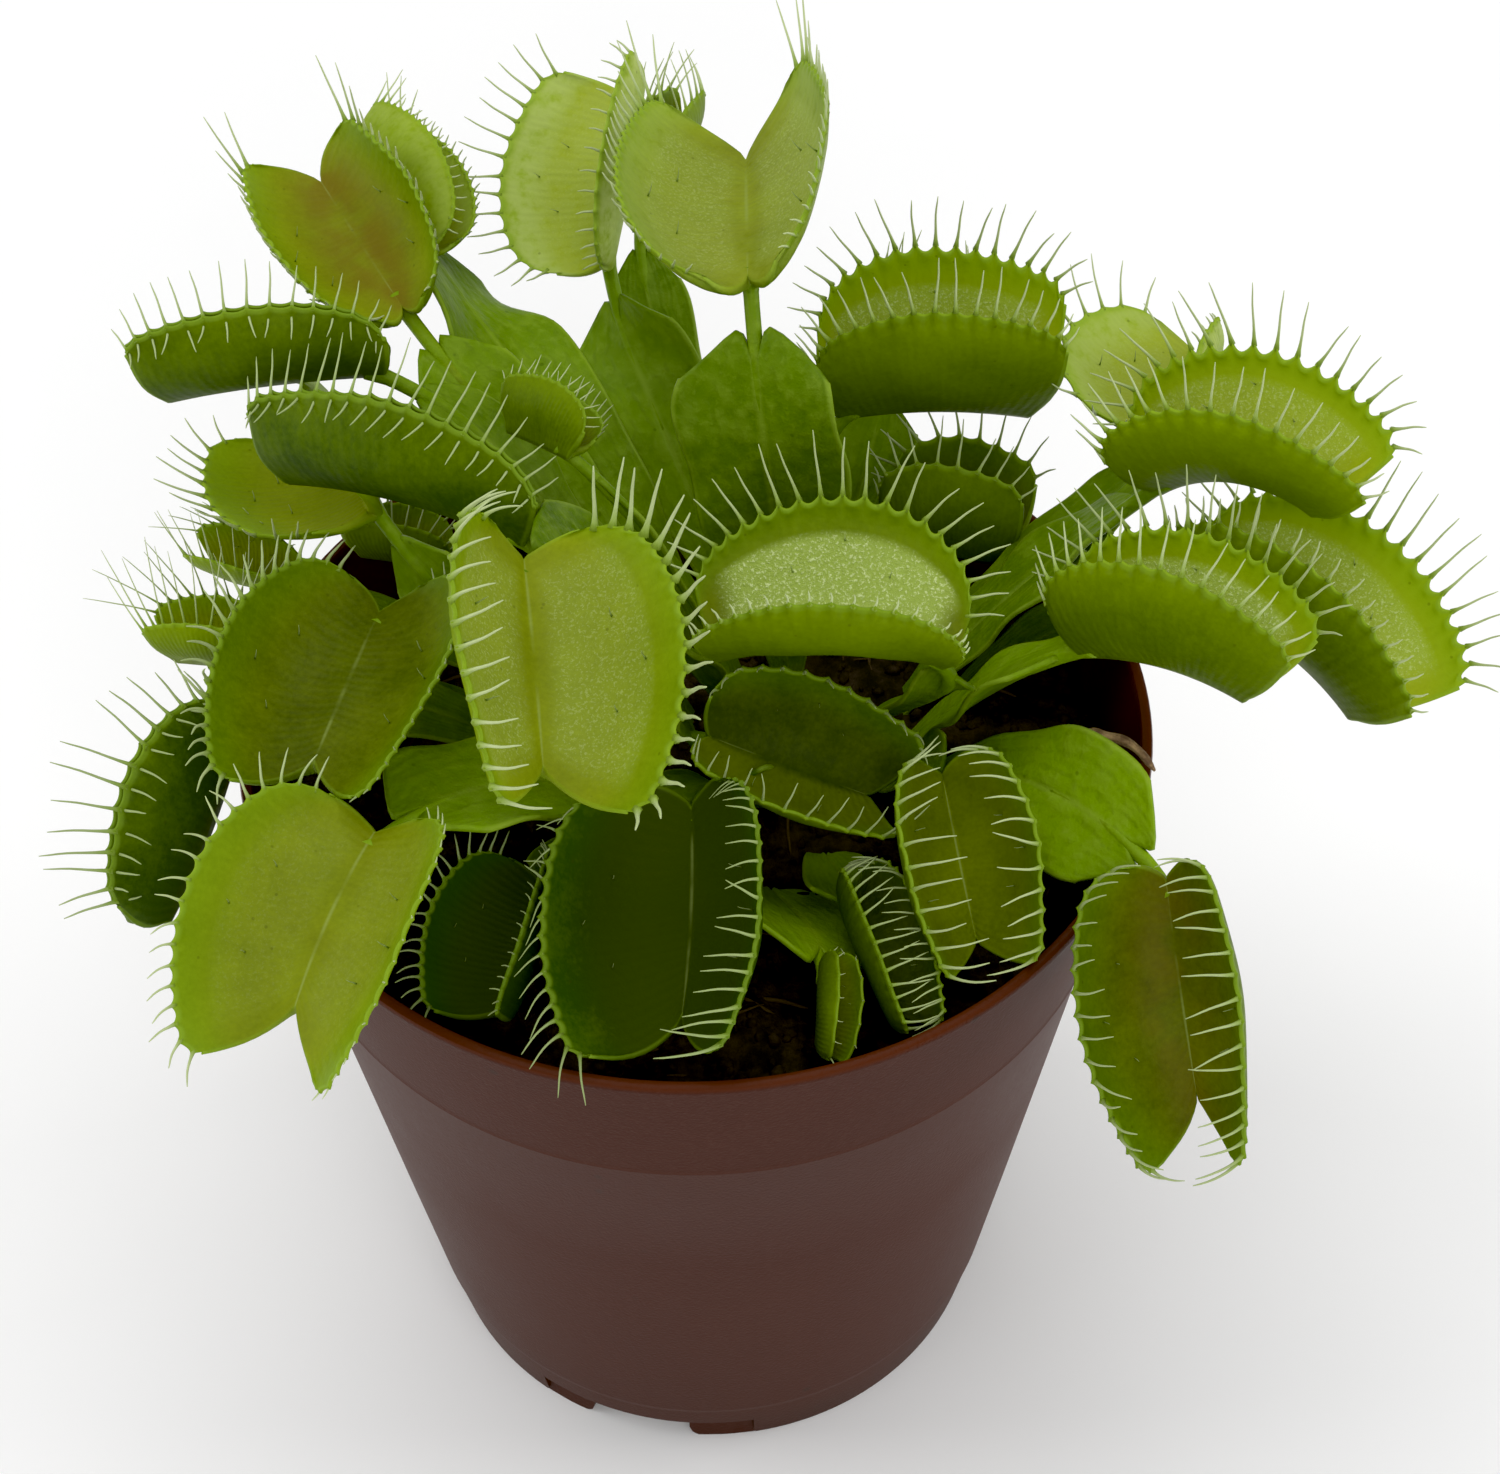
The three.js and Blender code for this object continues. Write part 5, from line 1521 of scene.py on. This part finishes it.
@dataclass
class Pot:
    """The moulded nursery pot, in millimetres."""

    sides: int = 160
    height: float = 86.0
    rim_radius: float = 45.0
    band_radius: float = 42.0
    band_height: float = 68.0
    ledge_radius: float = 32.2
    ledge_height: float = 8.0
    foot_radius: float = 31.0
    wall: float = 1.2
    floor_radius: float = 26.0
    channel: float = 4.2
    feet: tuple[float, ...] = (-90.0, 30.0, 150.0)
    gaps: tuple[float, float] = (-25.7, -4.8)
    gap_depth: float = 2.2
    gap_height: float = 3.3
    gap_corner: float = 1.6
    steps: tuple[float, float] = (-36.9, 8.6)
    step_depth: float = 0.62
    step_height: float = 4.1
    step_corner: float = 0.9
    drains: int = 6
    drain_ring: float = 17.0
    drain_radius: float = 3.2
    sharp_turn: float = 32.0

    def taper(self, z: float) -> float:
        """The outer radius on the straight taper."""
        rise = (z - self.ledge_height) / (self.band_height - self.ledge_height)
        return float(lerp(self.ledge_radius, self.band_radius - 0.4, rise))

    def outline(self) -> list[tuple[float, float]]:
        """The section, from the middle of the underside round to the middle of the floor."""
        wall, top, channel, floor = self.wall, self.height, self.channel, self.floor_radius
        foot, ledge, step = self.foot_radius, self.ledge_radius, self.ledge_height
        band, line, rim = self.band_radius, self.band_height, self.rim_radius
        return [
            (0, 0), (floor - 0.3, 0), (floor, 0.3), (floor, channel - wall),
            (foot - wall, channel - wall), (foot - wall, 0.2), (foot - wall + 0.2, 0),
            (foot - 0.7, 0), (foot - 0.5, 0.2), (ledge - 0.28, step - 0.7),
            (ledge - 0.2, step - 0.2), (ledge - 0.06, step + 0.05), (ledge, step + 0.4),
            (self.taper(24), 24), (self.taper(46), 46), (self.taper(line) - 0.02, line - 0.25),
            (band - 0.3, line - 0.05), (band - 0.02, line + 0.1), (band + 0.12, line + 0.3),
            (band + 0.1, line + 0.6), (band + 0.12, line + 1.0), (rim - 0.04, top - 0.9),
            (rim, top - 0.5), (rim - 0.12, top - 0.18), (rim - 0.4, top - 0.02),
            (rim - 0.75, top), (rim - 1.05, top - 0.12), (rim - wall, top - 0.45),
            (band - wall - 0.4, line), (self.taper(channel + wall) - wall, channel + wall),
            (floor - wall, channel), (floor - wall, wall), (0, wall),
        ]

    def body(self) -> Skin:
        """The lathed body, closed on the axis."""
        start, *middle, end = self.outline()
        rings = [np.column_stack([radius * circle(self.sides), np.full(self.sides, z)])
                 for radius, z in middle]
        faces = tube_faces(len(middle), self.sides)
        count = len(middle) * self.sides
        last = count - self.sides
        for k in range(self.sides):
            after = (k + 1) % self.sides
            faces += [[count, after, k], [count + 1, last + k, last + after]]
        return closed_skin(np.vstack([*rings, [0, 0, start[1]], [0, 0, end[1]]]), faces)

    def sector_cutter(self, ends: tuple[float, float], inside: float, top: float,
                      corner: float) -> Skin:
        """A block that opens one sector of the skirt.

        Args:
            ends: the turns at which the sector starts and ends, in degrees.
            inside: the radius down to which it cuts.
            top: how high it cuts.
            corner: the radius of the skirt's lower corners beside it.

        Returns:
            The block.
        """
        share = np.linspace(0, 1, 6)
        swing = math.degrees(corner / self.foot_radius)
        rounded = corner * (1 - np.sqrt(1 - share ** 2)) - 0.02
        first, last = ends
        inner = np.linspace(first + 0.05, last - 0.05, 9)
        turns = np.concatenate([first - swing * (1 - share), inner,
                                last + swing * (1 - share[::-1])])
        tops = np.concatenate([rounded, np.full(9, top), rounded[::-1]])
        high = self.foot_radius + 3
        rings = [[polar(r, turn, z) for r, z in
                  ((inside, -1), (high, -1), (high, up), (inside, up))]
                 for turn, up in zip(turns, tops)]
        points = np.array(rings).reshape(-1, 3)
        return closed_skin(points, capped_tube(len(turns), 4, [[0, 1, 2, 3]]))

    def drain_cutter(self, turn: float) -> Skin:
        """A round bar that opens one drain hole."""
        ends = np.array([polar(self.drain_ring, turn, z) for z in (-1.0, 2.6)])
        return closed_skin(*plain_tube(ends, np.full(2, self.drain_radius), 32))

    def build(self, material: bpy.types.Material) -> bpy.types.Object:
        """Lathes the pot, cuts its foot and drain holes, and dresses it.

        Args:
            material: the plastic.

        Returns:
            The pot's object.
        """
        body = self.body().build("pot_blank", [material])
        cutters = []
        for turn in self.feet:
            gap = (self.gaps[0] + turn, self.gaps[1] + turn)
            step = (self.steps[0] + turn, self.steps[1] + turn)
            cutters.append(self.sector_cutter(gap, self.foot_radius - self.gap_depth,
                                              self.gap_height, self.gap_corner))
            cutters.append(self.sector_cutter(step, self.foot_radius - self.step_depth,
                                              self.step_height, self.step_corner))
        cutters += [self.drain_cutter((k + 0.5) * 360.0 / self.drains)
                    for k in range(self.drains)]
        blanks = [cutter.build(f"cutter_{k}", [material]) for k, cutter in enumerate(cutters)]
        for blank in blanks:
            cut = body.modifiers.new("cut", "BOOLEAN")
            cut.operation, cut.solver, cut.object = "DIFFERENCE", "EXACT", blank
        mesh = evaluated_mesh(body, layers=False)
        for spare in (body, *blanks):
            bpy.data.objects.remove(spare)
        mesh.shade_smooth()
        mesh.set_sharp_from_angle(angle=math.radians(self.sharp_turn))
        piece = linked("pot_look", mesh)
        place_piece(piece, "pot")
        return piece


@dataclass
class Peat:
    """The growing medium: an uneven damp surface with crumbs and fibres.

    wall holds the radius and height of each ring below the edge, from the bottom up, and
    fibre the sizes of one fibre.
    """

    top: float = 76.0
    lump: float = 1.0
    edge: float = 40.9
    wall: tuple[tuple[float, float], ...] = ((24.4, 1.7), (24.4, 5.7), (31.5, 5.8), (40.2, 68.0))
    rings: int = 46
    sides: int = 132
    seed: int = 21
    fibres: int = 150
    fibre_spread: float = 38.0
    fibre_lengths: tuple[float, float] = (2.5, 7.0)
    fibre_rise: float = 0.45
    fibre_tone: float = 0.6
    fibre: dict[str, float] = field(default_factory=lambda: {
        "Root radius": 0.03, "Root flare": 0.0, "Tip radius": 0.015, "Sides": 4, "Bend": 0.5})

    def height(self, x: Array, y: Array) -> Array:
        """The broad height of its top, as in the solid, with finer lumps."""
        broad = self.lump * (0.5 * np.sin(0.21 * x + 0.6) * np.cos(0.17 * y - 0.4)
                             + 0.3 * np.sin(0.43 * y + 0.31 * x + 1.1)
                             + 0.2 * np.cos(0.62 * x - 0.37 * y))
        fine = (0.35 * np.sin(1.1 * x + 0.7 * y) * np.sin(0.9 * y - 0.5 * x + 2)
                + 0.22 * np.sin(2.3 * x - 1.2 * y + 1) * np.sin(2.1 * y + 0.9 * x)
                + 0.12 * np.sin(4.7 * x + 3.9 * y) * np.sin(4.1 * y - 3.3 * x + 0.4))
        return self.top + broad + fine

    def top_disc(self) -> tuple[Array, list[list[int]]]:
        """The top's points, ring by ring from the edge inwards, and its faces."""
        radii = self.edge * np.linspace(1, 0, self.rings + 1)[:-1]
        x, y = radii[:, None] * circle(self.sides).T[:, None]
        points = np.stack([x, y, self.height(x, y)], -1).reshape(-1, 3)
        points = np.vstack([points, [[0, 0, float(self.height(np.zeros(1), np.zeros(1))[0])]]])
        last = (self.rings - 1) * self.sides
        faces = tube_faces(self.rings, self.sides)
        faces += [[last + k, last + (k + 1) % self.sides, len(points) - 1]
                  for k in range(self.sides)]
        return points, faces

    def build(self, bristles: BristleTree, crumbs: CrumbTree,
              material: bpy.types.Material) -> bpy.types.Object:
        """Builds the filling, with what lies on it, in place of its solid.

        Args:
            bristles: the tree that grows fibres.
            crumbs: the tree that scatters lumps.
            material: the peat.

        Returns:
            The peat's object.
        """
        points, faces = self.top_disc()
        count = self.sides
        low = [np.column_stack([radius * circle(count), np.full(count, z)])
               for radius, z in self.wall]
        shift = len(low) * count
        solid = tube_faces(len(low) + 1, count)
        solid += [[i + shift for i in face] for face in faces] + [list(range(count))[::-1]]
        skin = closed_skin(np.vstack([*low, points]), solid)
        carrier = bpy.data.meshes.new("top")
        carrier.from_pydata((points * MM).tolist(), [], faces)
        skin.absorb(crumbs.grow(carrier, material), 0)
        random = np.random.default_rng(self.seed)
        strands = Bristles()
        for _ in range(self.fibres):
            radius = self.fibre_spread * math.sqrt(random.uniform())
            x, y, _ = polar(radius, random.uniform(0, 360), 0)
            z = float(self.height(np.array([x]), np.array([y]))[0])
            way = polar(1, random.uniform(0, 360), random.uniform(0.0, self.fibre_rise))
            long = random.uniform(*self.fibre_lengths)
            strands.add(np.array([x, y, z - 0.2]), way, np.array([0, 0, -1.0]), (long, long))
        grown = bristles.grow(strands.carrier(), material, self.fibre)
        skin.absorb(grown, 0, blush=self.fibre_tone)
        piece = skin.build("peat_look", [material])
        place_piece(piece, "soil")
        return piece


@dataclass
class DryStalk:
    """The dried-up stalk that leans over the rim, in millimetres."""

    route: tuple[Point, ...] = ((33, -8, 70), (32, -7, 88), (38, -5, 95), (44.5, -9, 87.4))
    radius: float = 0.6
    waver: float = 0.12
    tip_taper: tuple[float, ...] = (0.9, 0.65, 0.3)
    rings: int = 40
    sides: int = 9

    def build(self, material: bpy.types.Material) -> bpy.types.Object:
        """Builds the stalk in place of its solid.

        Args:
            material: the dry finish.

        Returns:
            The stalk's object.
        """
        share = np.linspace(0, 1, self.rings)
        line = bezier(*np.array(self.route, float), share[:, None])
        line = line + self.waver * np.stack([np.sin(23 * share), np.sin(31 * share + 1),
                                             np.sin(27 * share + 2)], -1)
        radii = self.radius * (1 - 0.25 * share + 0.1 * np.sin(40 * share))
        radii[-len(self.tip_taper):] *= self.tip_taper
        points, faces = plain_tube(line, radii, self.sides)
        skin = Skin()
        turn = np.tile(np.arange(self.sides) / self.sides, len(line))
        skin.add(points, faces, along=np.repeat(share, self.sides), reach=turn)
        piece = skin.build("dry_stalk_look", [material])
        place_piece(piece, "dry_stalk")
        return piece


@dataclass(frozen=True)
class SoftLight:
    """One square studio light, in metres and watts."""

    name: str
    place: Point
    size: float
    power: float
    color: Point = (1.0, 1.0, 1.0)
    target: Point = (0.0, 0.0, 0.09)

    def build(self) -> None:
        """Makes the light and points it at the plant."""
        lamp = bpy.data.lights.new(self.name, "AREA")
        lamp.size, lamp.energy, lamp.color = self.size, self.power, self.color
        thing = bpy.data.objects.new(self.name, lamp)
        thing.location = self.place
        aim = Vector(self.target) - Vector(self.place)
        thing.rotation_euler = aim.to_track_quat("-Z", "Y").to_euler()
        bpy.context.scene.collection.objects.link(thing)


@dataclass
class Studio:
    """The pale floor, the soft lights and the camera."""

    eye: Point = (5.348, -224.381, 336.001)
    forward: Point = (0.0, 0.66357, -0.74811)
    roll: float = -0.0152
    lens: float = 81.71
    sensor: float = 36.0
    clip: tuple[float, float] = (0.01, 20.0)
    floor_size: float = 4.0
    floor_dark: Point = (0.93, 0.93, 0.93)
    floor_light: Point = (0.95, 0.95, 0.95)
    sky: float = 0.4
    black: Point = (0.003, 0.003, 0.006)
    lights: tuple[SoftLight, ...] = (
        SoftLight("key", (-0.15, 0.25, 1.5), 1.3, 10.0),
        SoftLight("front", (0.25, -1.3, 1.0), 1.2, 9.0),
        SoftLight("left", (-1.1, 0.1, 0.5), 0.6, 4.2),
        SoftLight("right", (1.1, 0.1, 0.5), 0.6, 4.2),
    )

    def build_floor(self) -> None:
        """Makes the floor and its plain finish."""
        half = self.floor_size / 2
        mesh = bpy.data.meshes.new("floor")
        corners = [(-half, -half, 0), (half, -half, 0), (half, half, 0), (-half, half, 0)]
        mesh.from_pydata(corners, [], [(0, 1, 2, 3)])
        shader = Shader("floor")
        color = shader.blend(shader.noise(40, 2, 0.5), self.floor_dark, self.floor_light)
        mesh.materials.append(shader.finish(color, 0.9, 0.1))
        linked("floor", mesh)

    def build_camera(self) -> None:
        """Makes the camera from the fitted view."""
        lens = bpy.data.cameras.new("camera")
        lens.lens, lens.sensor_width, lens.sensor_fit = self.lens, self.sensor, "HORIZONTAL"
        lens.clip_start, lens.clip_end = self.clip
        forward = Vector(self.forward).normalized()
        right = Vector((1.0, 0.0, 0.0))
        up = right.cross(forward)
        turned_right = right * math.cos(self.roll) + up * math.sin(self.roll)
        turned_up = up * math.cos(self.roll) - right * math.sin(self.roll)
        axes = Matrix((turned_right, turned_up, -forward)).transposed().to_4x4()
        camera = bpy.data.objects.new("camera", lens)
        camera.matrix_world = Matrix.Translation(Vector(self.eye) * MM) @ axes
        bpy.context.scene.collection.objects.link(camera)
        bpy.context.scene.camera = camera

    def build(self) -> None:
        """Builds the whole studio."""
        scene = bpy.context.scene
        world = bpy.data.worlds.new("pale")
        world.use_nodes = True
        sky = world.node_tree.nodes["Background"]
        sky.inputs["Color"].default_value = (1.0, 1.0, 1.0, 1.0)
        sky.inputs["Strength"].default_value = self.sky
        scene.world = world
        view = scene.view_settings
        view.view_transform = "Standard"
        view.use_curve_mapping = True
        view.curve_mapping.black_level = self.black
        self.build_floor()
        self.build_camera()
        for light in self.lights:
            light.build()


def main() -> None:
    """Builds the studio, the pot, the peat, the dried stalk and the leaves, in that order."""
    logging.basicConfig(level=logging.INFO, format="%(message)s")
    Studio().build()
    bristles, crumbs = BristleTree(), CrumbTree()
    Pot().build(PotFinish().material())
    Peat().build(bristles, crumbs, PeatFinish().material())
    DryStalk().build(DryFinish().material())
    covers = [LobeFinish().material(), ToothFinish().material(), BladeFinish().material()]
    for number, plan in enumerate(LEAVES, start=1):
        Leaf(number, plan, LOOKS.get(number, USUAL)).build(bristles, covers)


if __name__ == "__main__":
    main()
